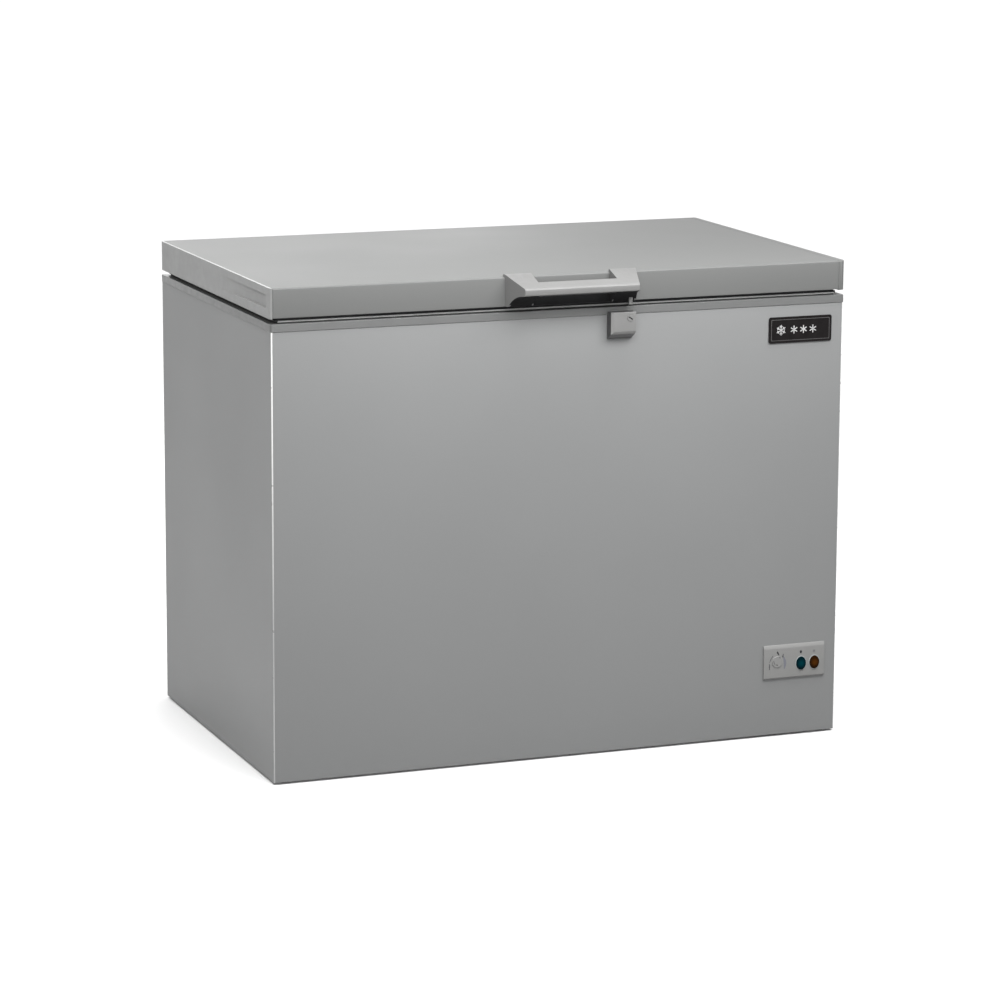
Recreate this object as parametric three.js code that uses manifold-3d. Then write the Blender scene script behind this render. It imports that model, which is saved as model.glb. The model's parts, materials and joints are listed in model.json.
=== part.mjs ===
// Chest freezer with a hinged lid, built as an assembly of separate pieces.
// Millimetres. +X runs to the right along the front, +Y to the back, +Z up. The origin is the
// middle of the bounding box's base, so z = 0 is the floor and the front face looks along -Y.
import * as THREE from "three";
import { mergeVertices } from "three/addons/utils/BufferGeometryUtils.js";
import Module from "manifold-3d";

const wasm = await Module();
wasm.setup();

// ---------- driving dimensions ----------
const WIDTH = 1100; // lid and top frame, side to side
const DEPTH = 670; // lid, front to back
const HEIGHT = 885; // floor to the lid's top
const WALL = 70; // outer face of a panel to the compartment
const SHEET = 1.2; // folded steel sheet
const GAP = 0.3; // clearance between pieces that touch
const LID_HEIGHT = 52.5;
const SEAL_HEIGHT = 10.5; // lid's bottom to the top frame
const FRAME_HEIGHT = 13.5;
const SHELL_INSET = 2; // the panels stand back from the lid's outline
const FOOT_HEIGHT = 4;
const HANDLE_REACH = 57.4; // how far the handle stands out of the lid
const HINGE_OFFSET = 14; // lid's back face to the hinge axis
const EAR_RADIUS = 8.5;
const BAY_WIDTH = 236; // compressor bay, from its divider to the right-hand side panel
const BAY_HEIGHT = 290;
const BAY_WALL = 60; // insulation round the bay

// ---------- places worked out from them ----------
const HINGE_REACH = HINGE_OFFSET + EAR_RADIUS;
const FRONT = (HANDLE_REACH - HINGE_REACH - DEPTH) / 2; // lid's front face
const BACK = FRONT + DEPTH; // lid's back face
const LID_SIDE = WIDTH / 2;
const LID_BOTTOM = HEIGHT - LID_HEIGHT;
const FRAME_TOP = LID_BOTTOM - SEAL_HEIGHT;
const FRAME_BOTTOM = FRAME_TOP - FRAME_HEIGHT;
const SIDE = LID_SIDE - SHELL_INSET; // outer face of the side panels
const SHELL_FRONT = FRONT + SHELL_INSET;
const SHELL_BACK = BACK - SHELL_INSET;
const PAN_BOTTOM = FOOT_HEIGHT + GAP;
const BAY_LEFT = SIDE - BAY_WIDTH;
const LEDGE_TOP = FRAME_BOTTOM + 3; // ledge that carries the basket
const LEDGE_WIDTH = 14;
const ROOM = { // the cold compartment
  side: SIDE - WALL,
  front: SHELL_FRONT + WALL,
  back: SHELL_BACK - WALL,
  floor: PAN_BOTTOM + WALL,
  stepX: BAY_LEFT - BAY_WALL,
  stepTop: BAY_HEIGHT + BAY_WALL,
  corner: 25,
};
const FOAM_CLEARANCE = 9.8; // room for the cooling coil between the tub and the foam
const SKIN_CLEARANCE = 6.3; // room for the condenser coil between the foam and the panels
const PIPE_SIDES = 6;
const ROUND_SIDES = 24;

// ---------- colours ----------
const paint = (color, roughness, metalness = 0) => ({ color, roughness, metalness });
const FINISH = {
  greyPaint: paint(0x96989a, 0.42, 0.35),
  greyPlastic: paint(0xa4a6a6, 0.5),
  handlePlastic: paint(0xb4b6b5, 0.42),
  white: paint(0xe9ecec, 0.5),
  foam: paint(0xe8d9a4, 0.95),
  rubber: paint(0x3a3c3d, 0.8),
  black: paint(0x151515, 0.25),
  darkPlastic: paint(0x222324, 0.6),
  steel: paint(0xb9bcbd, 0.35, 0.9),
  zinc: paint(0xa7aaa9, 0.45, 0.8),
  copper: paint(0xb87348, 0.35, 0.9),
  aluminium: paint(0xc9cccd, 0.4, 0.8),
  teal: paint(0x00525a, 0.2),
  amber: paint(0x7a3d0c, 0.2),
  wire: paint(0xe6e8e8, 0.35),
};

// ---------- solids: cutting and joining ----------
function toSolid(geometry) {
  const bare = geometry.clone();
  bare.deleteAttribute("normal");
  bare.deleteAttribute("uv");
  const merged = mergeVertices(bare, 1e-4);
  return new wasm.Manifold(
    new wasm.Mesh({
      numProp: 3,
      vertProperties: merged.attributes.position.array,
      triVerts: new Uint32Array(merged.index.array),
    }),
  );
}

function toGeometry(solid) {
  const mesh = solid.getMesh();
  const geometry = new THREE.BufferGeometry();
  geometry.setAttribute("position", new THREE.BufferAttribute(mesh.vertProperties, 3));
  geometry.setIndex(new THREE.BufferAttribute(mesh.triVerts, 1));
  return geometry;
}

const combine = (first, others, operation) =>
  toGeometry(others.reduce((made, next) => made[operation](toSolid(next)), toSolid(first)));
const join = (first, ...others) => combine(first, others, "add");
const cut = (first, ...others) => combine(first, others, "subtract");
const common = (first, ...others) => combine(first, others, "intersect");

// ---------- solids: basic shapes ----------
function box(x0, x1, y0, y1, z0, z1) {
  return new THREE.BoxGeometry(x1 - x0, y1 - y0, z1 - z0).translate(
    (x0 + x1) / 2,
    (y0 + y1) / 2,
    (z0 + z1) / 2,
  );
}

// A closed outline through the points, each corner rounded by its radius.
function outline(points, radii = 0) {
  const shape = new THREE.Shape();
  points.forEach((point, i) => {
    const corner = new THREE.Vector2(...point);
    const before = new THREE.Vector2(...points.at(i - 1)).sub(corner).normalize();
    const after = new THREE.Vector2(...points[(i + 1) % points.length]).sub(corner).normalize();
    const radius = Array.isArray(radii) ? radii[i] : radii;
    const from = corner.clone().addScaledVector(before, radius);
    const to = corner.clone().addScaledVector(after, radius);
    if (i === 0) shape.moveTo(from.x, from.y);
    else shape.lineTo(from.x, from.y);
    if (radius) shape.quadraticCurveTo(corner.x, corner.y, to.x, to.y);
  });
  shape.closePath();
  return shape;
}

const rectangle = (x0, x1, y0, y1, radius = 0) =>
  outline([[x0, y0], [x1, y0], [x1, y1], [x0, y1]], radius);

// Prisms: an outline in the other two axes, extruded along the named one.
const extrude = (shape, depth, curveSegments) =>
  new THREE.ExtrudeGeometry(shape, { depth, bevelEnabled: false, curveSegments });
const AXIS = {
  x: new THREE.Vector3(1, 0, 0),
  y: new THREE.Vector3(0, 1, 0),
  z: new THREE.Vector3(0, 0, 1),
};
const ALONG_X = new THREE.Matrix4().makeBasis(AXIS.y, AXIS.z, AXIS.x);
const ALONG_Y = new THREE.Matrix4().makeBasis(AXIS.x, AXIS.z, AXIS.y.clone().negate());
const prismX = (shape, x0, x1, segments = 5) =>
  extrude(shape, x1 - x0, segments).applyMatrix4(ALONG_X).translate(x0, 0, 0);
const prismY = (shape, y0, y1, segments = 5) =>
  extrude(shape, y1 - y0, segments).applyMatrix4(ALONG_Y).translate(0, y1, 0);
const prismZ = (shape, z0, z1, segments = 5) =>
  extrude(shape, z1 - z0, segments).translate(0, 0, z0);

// A round bar from one point to another.
function rod(start, end, radius, sides = 16) {
  const from = new THREE.Vector3(...start);
  const along = new THREE.Vector3(...end).sub(from);
  const turn = new THREE.Quaternion().setFromUnitVectors(AXIS.y, along.clone().normalize());
  const middle = from.addScaledVector(along, 0.5);
  return new THREE.CylinderGeometry(radius, radius, along.length(), sides)
    .applyQuaternion(turn)
    .translate(middle.x, middle.y, middle.z);
}

// A turned piece: a profile of [radius, height] pairs from its foot to its top.
function turned(profile, sides = ROUND_SIDES) {
  const points = profile.map(([radius, height]) => new THREE.Vector2(radius, height));
  return new THREE.LatheGeometry(points, sides).rotateX(Math.PI / 2);
}

// The same, with its height running along -Y, as a knob on the front has it.
const turnedToFront = (profile, sides) => turned(profile, sides).rotateX(Math.PI / 2);

// A route through its own points, with no even spacing.
class Route extends THREE.Curve {
  constructor(points) {
    super();
    this.points = points;
  }

  getUtoTmapping(u) {
    return u;
  }

  getPoint(t, target = new THREE.Vector3()) {
    const place = t * (this.points.length - 1);
    const index = Math.min(Math.floor(place), this.points.length - 2);
    return target.lerpVectors(this.points[index], this.points[index + 1], place - index);
  }
}

// A tube through the points of a route.
function tube(points, radius) {
  const section = new THREE.Shape().absarc(0, 0, radius, 0, 2 * Math.PI);
  return new THREE.ExtrudeGeometry(section, {
    steps: points.length - 1,
    extrudePath: new Route(points),
    curveSegments: PIPE_SIDES / 2,
    bevelEnabled: false,
  });
}

// A bent pipe or wire: straight runs between corners, each corner turned with the bend radius,
// or a tighter one where the next corner is close.
function pipe(corners, radius, bend, bendSteps = 2) {
  const places = corners.map((corner) => new THREE.Vector3(...corner));
  const points = [places[0]];
  const towards = (place, next) => {
    const run = next.clone().sub(place);
    return run.setLength(Math.min(bend, 0.45 * run.length())).add(place);
  };
  for (let i = 1; i < places.length - 1; i++) {
    const start = towards(places[i], places[i - 1]);
    const end = towards(places[i], places[i + 1]);
    points.push(
      ...new THREE.QuadraticBezierCurve3(start, places[i], end).getPoints(bendSteps),
    );
  }
  points.push(places.at(-1));
  return tube(points, radius);
}

// ---------- the assembly ----------
const freezer = new THREE.Group();

function add(name, geometry, finish) {
  const shaded = geometry.clone();
  shaded.computeVertexNormals();
  const mesh = new THREE.Mesh(shaded, new THREE.MeshStandardMaterial(finish));
  mesh.name = name;
  freezer.add(mesh);
}

// ---------- cabinet ----------
const PANEL_TOP = FRAME_BOTTOM - GAP;
const FOLD_RADIUS = 3;
const PANEL = { // control panel in the front's lower right corner
  x: 462.5, z: 142.2, width: 123.5, height: 64, depth: 4, boxWidth: 113, boxHeight: 54, boxDepth: 33,
};
const VENT = { y: 40, z: 135, width: 240, height: 150 }; // grille in the right-hand side

function frontPanel() {
  const returnDepth = SHELL_FRONT + FOLD_RADIUS + 0.5;
  const inner = SIDE - SHEET;
  const fold = outline(
    [
      [-SIDE, returnDepth], [-SIDE, SHELL_FRONT], [SIDE, SHELL_FRONT], [SIDE, returnDepth],
      [inner, returnDepth], [inner, SHELL_FRONT + SHEET], [-inner, SHELL_FRONT + SHEET],
      [-inner, returnDepth],
    ],
    [0, FOLD_RADIUS, FOLD_RADIUS, 0, 0, FOLD_RADIUS - SHEET, FOLD_RADIUS - SHEET, 0],
  );
  const halfWidth = PANEL.boxWidth / 2 + 0.5;
  const halfHeight = PANEL.boxHeight / 2 + 0.5;
  const opening = box(
    PANEL.x - halfWidth, PANEL.x + halfWidth, SHELL_FRONT - 1, SHELL_FRONT + SHEET + 1,
    PANEL.z - halfHeight, PANEL.z + halfHeight,
  );
  return cut(prismZ(fold, FOOT_HEIGHT, PANEL_TOP), opening);
}

function sidePanel(side) {
  const outer = side * SIDE;
  const inner = side * (SIDE - SHEET);
  const front = SHELL_FRONT + FOLD_RADIUS + 0.5 + GAP;
  return box(
    Math.min(outer, inner), Math.max(outer, inner), front, SHELL_BACK, FOOT_HEIGHT, PANEL_TOP,
  );
}

function ventOpening(grow) {
  const halfWidth = VENT.width / 2 + grow;
  const halfHeight = VENT.height / 2 + grow;
  return box(
    SIDE - SHEET - 1, SIDE + 2, VENT.y - halfWidth, VENT.y + halfWidth,
    VENT.z - halfHeight, VENT.z + halfHeight,
  );
}

// Plastic grille with a row of slots, seated in the right-hand panel's opening.
function sideVentGrille() {
  const slotPitch = 14;
  const slots = 9;
  const slot = (i) => {
    const z = VENT.z + (i - (slots - 1) / 2) * slotPitch;
    return box(SIDE - 5, SIDE + 5, VENT.y - 106, VENT.y + 106, z - 3.5, z + 3.5);
  };
  const plate = box(
    SIDE - SHEET, SIDE + 1.3, VENT.y - VENT.width / 2, VENT.y + VENT.width / 2,
    VENT.z - VENT.height / 2, VENT.z + VENT.height / 2,
  );
  return cut(plate, ...Array.from({ length: slots }, (_, i) => slot(i)));
}

// The back is one sheet, notched at the compressor bay, which its own cover closes.
const COVER_TOP = BAY_HEIGHT - 4;
const backInner = SHELL_BACK - SHEET;
const backEdge = SIDE - SHEET - GAP;

function backPanel() {
  const sheet = outline([
    [-backEdge, FOOT_HEIGHT], [BAY_LEFT, FOOT_HEIGHT], [BAY_LEFT, COVER_TOP],
    [backEdge, COVER_TOP], [backEdge, PANEL_TOP], [-backEdge, PANEL_TOP],
  ]);
  return prismY(sheet, backInner, SHELL_BACK);
}

const GLAND = { x: 500, z: 60, hole: 9 };

function compressorCover() {
  const slotPitch = 20;
  const slots = 9;
  const plate = box(
    BAY_LEFT + GAP, backEdge, backInner, SHELL_BACK, FOOT_HEIGHT, COVER_TOP - GAP,
  );
  const slot = (i) => {
    const z = 100 + i * slotPitch;
    return box(BAY_LEFT + 36, backEdge - 36, backInner - 1, SHELL_BACK + 1, z - 3, z + 3);
  };
  const gland = rod(
    [GLAND.x, backInner - 1, GLAND.z], [GLAND.x, SHELL_BACK + 1, GLAND.z], GLAND.hole,
  );
  return cut(plate, ...Array.from({ length: slots }, (_, i) => slot(i)), gland);
}

// Bush that the mains lead passes through.
function cableGland() {
  const bush = turnedToFront([
    [4, -7], [GLAND.hole + 3, -6], [GLAND.hole + 3, -GAP], [GLAND.hole - GAP, -GAP],
    [GLAND.hole - GAP, SHEET + 4], [4, SHEET + 4], [4, -7],
  ], 16);
  return bush.translate(GLAND.x, SHELL_BACK, GLAND.z);
}

// The pan closes the foam's underside and steps up over the bay.
const SUCTION = { x: 415, y: ROOM.back + 5.5, hole: 4.2 };

function suctionHole() {
  return rod(
    [SUCTION.x, SUCTION.y, BAY_HEIGHT - 5],
    [SUCTION.x, SUCTION.y, ROOM.stepTop],
    SUCTION.hole,
    PIPE_SIDES,
  );
}

const DRAIN = { x: -330, y: ROOM.front + 70, hole: 13 };

function drainHole(radius, bottom, top) {
  return rod([DRAIN.x, DRAIN.y, bottom], [DRAIN.x, DRAIN.y, top], radius);
}

function basePan() {
  const top = PAN_BOTTOM + SHEET;
  const left = BAY_LEFT - SHEET;
  const shelfEnd = SIDE - SHEET - SKIN_CLEARANCE;
  const pan = outline([
    [-backEdge, PAN_BOTTOM], [BAY_LEFT, PAN_BOTTOM], [BAY_LEFT, BAY_HEIGHT],
    [shelfEnd, BAY_HEIGHT], [shelfEnd, BAY_HEIGHT + SHEET], [left, BAY_HEIGHT + SHEET],
    [left, top], [-backEdge, top],
  ]);
  const folded = prismY(pan, SHELL_FRONT + FOLD_RADIUS, backInner - GAP);
  return cut(folded, suctionHole(), drainHole(DRAIN.hole + GAP, 0, 20));
}

// The compartment as a solid, grown outwards by "grow" on every wall and cut off at "top".
function roomSolid(grow, top) {
  const radius = 12 + grow;
  const side = ROOM.side + grow;
  const floor = ROOM.floor - grow;
  const stepX = ROOM.stepX + grow;
  const stepTop = ROOM.stepTop - grow;
  const elevation = outline(
    [
      [-side, floor], [stepX, floor], [stepX, stepTop], [side, stepTop], [side, top], [-side, top],
    ],
    [radius, radius, radius, radius, 0, 0],
  );
  return common(
    prismY(elevation, ROOM.front - grow - 1, ROOM.back + grow + 1, 3),
    prismZ(roomPlan(grow), floor - 1, top),
  );
}

function roomPlan(grow) {
  const side = ROOM.side + grow;
  return rectangle(-side, side, ROOM.front - grow, ROOM.back + grow, ROOM.corner + grow);
}

function innerTub() {
  const flangeTop = FRAME_BOTTOM - GAP;
  const flange = prismZ(roomPlan(LEDGE_WIDTH), flangeTop - SHEET, flangeTop);
  const tub = join(roomSolid(SHEET, flangeTop), flange);
  return cut(tub, roomSolid(0, FRAME_TOP), drainHole(DRAIN.hole, 0, 200));
}

const outerPlan = (inset, radius) =>
  rectangle(-LID_SIDE + inset, LID_SIDE - inset, FRONT + inset, BACK - inset, radius);

// Moulded frame round the opening: a channel over the foam with a ledge for the basket inside.
function topFrame() {
  const ring = cut(
    prismZ(outerPlan(0.5, 6), FRAME_BOTTOM, FRAME_TOP),
    prismZ(roomPlan(0), FRAME_BOTTOM - 1, FRAME_TOP + 1),
    prismZ(roomPlan(LEDGE_WIDTH), LEDGE_TOP, FRAME_TOP + 1),
  );
  const hollow = cut(
    prismZ(outerPlan(3.5, 4), FRAME_BOTTOM - 1, FRAME_TOP - 3),
    prismZ(roomPlan(LEDGE_WIDTH + 3), FRAME_BOTTOM - 2, FRAME_TOP),
  );
  return cut(ring, hollow);
}

function foamBody() {
  const side = SIDE - SHEET - SKIN_CLEARANCE;
  const front = SHELL_FRONT + SHEET + SKIN_CLEARANCE;
  const back = backInner - SKIN_CLEARANCE;
  const bottom = PAN_BOTTOM + SHEET + GAP;
  const top = FRAME_BOTTOM - SHEET - 2 * GAP;
  const plan = rectangle(-side, side, front, back, 12);
  const rim = cut(
    prismZ(plan, top - 1, FRAME_TOP - 3 - GAP, 2),
    prismZ(roomPlan(LEDGE_WIDTH + 3 + GAP), top - 2, FRAME_TOP),
  );
  const bay = box(
    BAY_LEFT - SHEET - GAP, side + 1, front - 1, back + 1, 0, BAY_HEIGHT + SHEET + GAP,
  );
  return cut(
    join(prismZ(plan, bottom, top, 2), rim),
    roomSolid(FOAM_CLEARANCE, FRAME_TOP),
    bay,
    suctionHole(),
    drainHole(DRAIN.hole + GAP, 0, 200),
  );
}

add("front_panel", frontPanel(), FINISH.greyPaint);
add("side_panel_left", sidePanel(-1), FINISH.greyPaint);
add("side_panel_right", cut(sidePanel(1), ventOpening(GAP)), FINISH.greyPaint);
add("side_vent_grille", sideVentGrille(), FINISH.greyPlastic);
add("back_panel", backPanel(), FINISH.greyPaint);
add("compressor_cover", compressorCover(), FINISH.greyPaint);
add("cable_gland", cableGland(), FINISH.darkPlastic);
add("base_pan", basePan(), FINISH.zinc);
add("inner_tub", innerTub(), FINISH.white);
add("top_frame", topFrame(), FINISH.greyPlastic);
add("foam_body", foamBody(), FINISH.foam);

// ---------- feet ----------
const FOOT = { radius: 17, insetX: 25, insetY: 26 };
for (const [where, y] of [["front", SHELL_FRONT + FOOT.insetY], ["back", SHELL_BACK - FOOT.insetY]]) {
  for (const [hand, sign] of [["left", -1], ["right", 1]]) {
    const foot = turned([
      [0, 0], [FOOT.radius - 2, 0], [FOOT.radius, 1.5], [FOOT.radius, FOOT_HEIGHT], [0, FOOT_HEIGHT],
    ]);
    foot.translate(sign * (SIDE - FOOT.insetX), y, 0);
    add(`foot_${where}_${hand}`, foot, FINISH.darkPlastic);
  }
}

// ---------- drain ----------
const DRAIN_TOP = ROOM.floor - SHEET - GAP;

function drainTube() {
  const wall = DRAIN.hole;
  const pipeEnd = turned([
    [wall - 2, PAN_BOTTOM], [wall, PAN_BOTTOM], [wall, DRAIN_TOP], [wall - 2, DRAIN_TOP],
    [wall - 2, PAN_BOTTOM],
  ], 16);
  return pipeEnd.translate(DRAIN.x, DRAIN.y, 0);
}

function drainPlug() {
  const floor = ROOM.floor + GAP;
  const plug = turned([
    [0, floor - 18], [9, floor - 18], [10, floor], [19, floor], [19, floor + 3], [7, floor + 4.5],
    [5, floor + 9], [7, floor + 12], [0, floor + 13],
  ], 16);
  return plug.translate(DRAIN.x, DRAIN.y, 0);
}

add("drain_tube", drainTube(), FINISH.white);
add("drain_plug", drainPlug(), FINISH.rubber);

// ---------- cooling circuit ----------
const COIL_RADIUS = 3.2;
const COIL_BEND = ROOM.corner + 5.5;
const CONDENSER_RADIUS = 2.4;

// Corners of one turn round a rectangle, the climb made on the last leg.
function coilTurns(side, front, back, bottom, pitch, turns, startSide) {
  const corners = [];
  for (let turn = 0; turn < turns; turn++) {
    const z = bottom + turn * pitch;
    corners.push(
      [startSide * side, front, z], [startSide * side, back, z],
      [-startSide * side, back, z], [-startSide * side, front, z + pitch],
    );
  }
  return corners;
}

// Cooling coil: rows round the low part of the tub, then full turns above the step.
function evaporatorCoil() {
  const side = ROOM.side + 5.5;
  const front = ROOM.front - 5.5;
  const riser = ROOM.stepX - 22;
  const rowEnd = ROOM.stepX - 48;
  const firstRow = ROOM.floor + 36;
  const rowPitch = 65;
  const corners = [
    [SUCTION.x, SUCTION.y, ROOM.stepTop + GAP], [SUCTION.x, SUCTION.y, ROOM.stepTop + 24],
    [riser, SUCTION.y, ROOM.stepTop + 24], [riser, SUCTION.y, firstRow],
  ];
  for (let row = 0; row < 3; row++) {
    const z = firstRow + row * rowPitch;
    const [first, last] = row % 2 ? [front, SUCTION.y] : [SUCTION.y, front];
    if (row > 0) corners.push([rowEnd, first, z]);
    corners.push([-side, first, z], [-side, last, z], [rowEnd, last, z]);
  }
  const firstTurn = ROOM.stepTop + 70;
  corners.push([rowEnd, front, firstTurn]);
  corners.push(...coilTurns(side, front, SUCTION.y, firstTurn, 52, 6, 1));
  const [endX, endY, endZ] = corners.pop();
  corners.push([endX, endY + 2 * ROOM.corner, endZ]);
  return pipe(corners, COIL_RADIUS, COIL_BEND, 4);
}

const COMPRESSOR = { x: 415, y: 110, foot: 44, waist: 125, radius: 80, squeeze: 0.88 };
const skinX = SIDE - SHEET - SKIN_CLEARANCE / 2 - 0.15;
const CONDENSER_START = BAY_HEIGHT + 12;

// Warm coil: turns of tube held against the inside of the outer panels.
function condenserCoil() {
  const front = SHELL_FRONT + SHEET + SKIN_CLEARANCE / 2;
  const back = backInner - SKIN_CLEARANCE / 2;
  const first = CONDENSER_START + 30;
  const corners = [[skinX, COMPRESSOR.y, CONDENSER_START], [skinX, COMPRESSOR.y, first]];
  const turns = coilTurns(skinX, front, back, first, 74, 5, -1);
  corners.push([skinX, front, first], ...turns);
  return pipe(corners, CONDENSER_RADIUS, 10);
}

function compressor() {
  const { radius, foot, waist } = COMPRESSOR;
  const shell = turned([
    [0, foot - 10], [45, foot - 10], [68, foot + 6], [radius, foot + 34], [radius, waist - 3],
    [radius + 4, waist - 3], [radius + 4, waist + 3], [radius, waist + 3], [radius, waist + 28],
    [76, waist + 50], [60, waist + 72], [35, waist + 86], [0, waist + 89],
  ], 18);
  shell.scale(COMPRESSOR.squeeze, 1, 1);
  const plate = prismZ(rectangle(-74, 74, -92, 92, 14), foot, foot + 3, 3);
  return join(shell, plate).translate(COMPRESSOR.x, COMPRESSOR.y, 0);
}

const TRAY = { left: BAY_LEFT + GAP, rise: 330, fall: 500, top: 22 };

// Folded tray across the bay's floor that carries the compressor.
function compressorTray() {
  const { left, rise, fall, top } = TRAY;
  const thick = 1.5;
  const bottom = PAN_BOTTOM;
  const profile = outline([
    [left, bottom], [rise, bottom], [rise, top], [fall, top], [fall, bottom], [backEdge, bottom],
    [backEdge, bottom + thick], [fall + thick, bottom + thick], [fall + thick, top + thick],
    [rise - thick, top + thick], [rise - thick, bottom + thick], [left, bottom + thick],
  ]);
  return prismY(profile, SHELL_FRONT + FOLD_RADIUS, backInner - GAP);
}

function grommet() {
  const low = TRAY.top + 1.5 + GAP;
  const high = COMPRESSOR.foot - GAP;
  return turned([[0, low], [9, low], [9, low + 6], [6, low + 8], [9, low + 10], [9, high], [0, high]], 12);
}

// Small copper canister that dries the refrigerant, drawn in at both ends.
function filterDrier() {
  const canister = turned([
    [0, 90], [3, 90], [3, 98], [9, 108], [9, 186], [3, 196], [3, 204], [0, 204],
  ], 16);
  return canister.translate(348, 255, 0);
}

const shellSide = COMPRESSOR.x + COMPRESSOR.radius * COMPRESSOR.squeeze + 0.6;
const shellBack = COMPRESSOR.y + COMPRESSOR.radius + 0.6;
const PORT_Z = COMPRESSOR.waist + 22;

add("evaporator_coil", evaporatorCoil(), FINISH.aluminium);
add("condenser_coil", condenserCoil(), FINISH.zinc);
add("compressor", compressor(), FINISH.black);
add("compressor_tray", compressorTray(), FINISH.zinc);
for (const [where, dy] of [["front", -80], ["back", 80]]) {
  for (const [hand, dx] of [["left", -60], ["right", 60]]) {
    const bush = grommet().translate(COMPRESSOR.x + dx, COMPRESSOR.y + dy, 0);
    add(`grommet_${where}_${hand}`, bush, FINISH.rubber);
  }
}
add("filter_drier", filterDrier(), FINISH.copper);
add(
  "suction_pipe",
  pipe(
    [
      [SUCTION.x, shellBack, PORT_Z], [SUCTION.x, SUCTION.y, PORT_Z],
      [SUCTION.x, SUCTION.y, ROOM.stepTop],
    ],
    COIL_RADIUS, 20,
  ),
  FINISH.copper,
);
add(
  "discharge_pipe",
  pipe(
    [
      [shellSide, COMPRESSOR.y, PORT_Z], [skinX, COMPRESSOR.y, PORT_Z],
      [skinX, COMPRESSOR.y, CONDENSER_START - GAP],
    ],
    CONDENSER_RADIUS, 14,
  ),
  FINISH.copper,
);

// ---------- electrics ----------
const RELAY = { x: 415, z: 118, width: 54, height: 62, depth: 34 };
const relayBack = COMPRESSOR.y - COMPRESSOR.radius - 4.6; // clear of the shell's weld flange

function relayCover() {
  const plan = rectangle(
    RELAY.x - RELAY.width / 2, RELAY.x + RELAY.width / 2, relayBack - RELAY.depth, relayBack, 6,
  );
  return prismZ(plan, RELAY.z - RELAY.height / 2, RELAY.z + RELAY.height / 2, 3)
    .translate(0, 0, -GAP);
}

function wiringLoom() {
  const start = SHELL_FRONT + 31;
  const end = relayBack - RELAY.depth - GAP;
  return pipe(
    [
      [470, start, 150], [470, start + 60, 150], [RELAY.x, end - 60, RELAY.z], [RELAY.x, end, RELAY.z],
    ],
    4, 22,
  );
}

const DIAL = { x: PANEL.x - 34.8, z: PANEL.z + 0.6, radius: 10.5 };
const CAP = { radius: 9.6, stretch: 1.26, z: PANEL.z - 5.6, proud: 2.8 }; // taller than wide
const SWITCHES = [
  { name: "power_switch", x: PANEL.x + 13.9, finish: FINISH.teal },
  { name: "fast_freeze_switch", x: PANEL.x + 41.2, finish: FINISH.amber },
];
const PANEL_FACE = SHELL_FRONT - PANEL.depth;

// Fascia with a sloped top edge, and behind it a box that reaches through the front panel.
function controlPanel() {
  const { x, z, width, height, depth } = PANEL;
  const low = z - height / 2;
  const high = z + height / 2;
  const back = SHELL_FRONT - GAP;
  const profile = outline(
    [
      [back, low], [back - depth + 1.5, low], [PANEL_FACE, low + 2.5], [PANEL_FACE, high - 6.5],
      [back - 1.2, high], [back, high],
    ],
    [0, 0.6, 0.6, 1.5, 0.6, 0],
  );
  const fascia = prismX(profile, x - width / 2, x + width / 2, 3);
  const rearBox = box(
    x - PANEL.boxWidth / 2, x + PANEL.boxWidth / 2, back - 2, SHELL_FRONT + PANEL.boxDepth,
    z - PANEL.boxHeight / 2, z + PANEL.boxHeight / 2,
  );
  const inside = box(
    x - PANEL.boxWidth / 2 + 2, x + PANEL.boxWidth / 2 - 2,
    PANEL_FACE + 2.5, SHELL_FRONT + PANEL.boxDepth + 1,
    z - PANEL.boxHeight / 2 + 2, z + PANEL.boxHeight / 2 - 2,
  );
  const holes = [
    [DIAL.x, DIAL.z, DIAL.radius + 0.4, 1],
    ...SWITCHES.map((button) => [button.x, CAP.z, CAP.radius + 0.4, CAP.stretch]),
  ].map(([hx, hz, r, stretch]) =>
    rod([0, PANEL_FACE - 1, 0], [0, PANEL_FACE + 3, 0], r, ROUND_SIDES)
      .scale(1, 1, stretch).translate(hx, 0, hz));
  return cut(join(fascia, rearBox), inside, ...holes);
}

// Dial turned with a fingertip: a low disc with a notch near its rim, on the thermostat's spindle.
function thermostatDial() {
  const r = DIAL.radius;
  const rear = -PANEL.depth - 2.5;
  const disc = turnedToFront([
    [0, rear], [3, rear], [3, -4.5], [r, -4.5], [r, 0.8], [r - 1, 1.6], [0, 1.6],
  ]);
  const notch = box(-2.8, 2.8, -2.5, 0.6, -1, 1).rotateY(0.54).translate(-0.6, 0, -6.2);
  return cut(disc, notch).translate(DIAL.x, PANEL_FACE, DIAL.z);
}

function thermostatBody() {
  const half = 16.5;
  return box(
    DIAL.x - half, DIAL.x + half, SHELL_FRONT + 3, SHELL_FRONT + 27, DIAL.z - half, DIAL.z + half,
  );
}

// Push button: an oval low dome on a stem. At rest it stands proud of the fascia.
function switchCap() {
  const r = CAP.radius;
  const rear = -PANEL.depth - 4;
  return turnedToFront([
    [0, rear], [3.2, rear], [3.2, -2], [r, -2], [r, CAP.proud - 1.2], [r - 1.4, CAP.proud - 0.3],
    [r - 5, CAP.proud], [0, CAP.proud],
  ]).scale(1, 1, CAP.stretch);
}

function switchBody(x) {
  const half = 9;
  const front = SHELL_FRONT + 2;
  const body = box(x - half, x + half, front, front + 22, CAP.z - half, CAP.z + half);
  const well = rod([x, front - 1, CAP.z], [x, front + 8, CAP.z], 4.6, 12);
  return cut(body, well);
}

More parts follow.
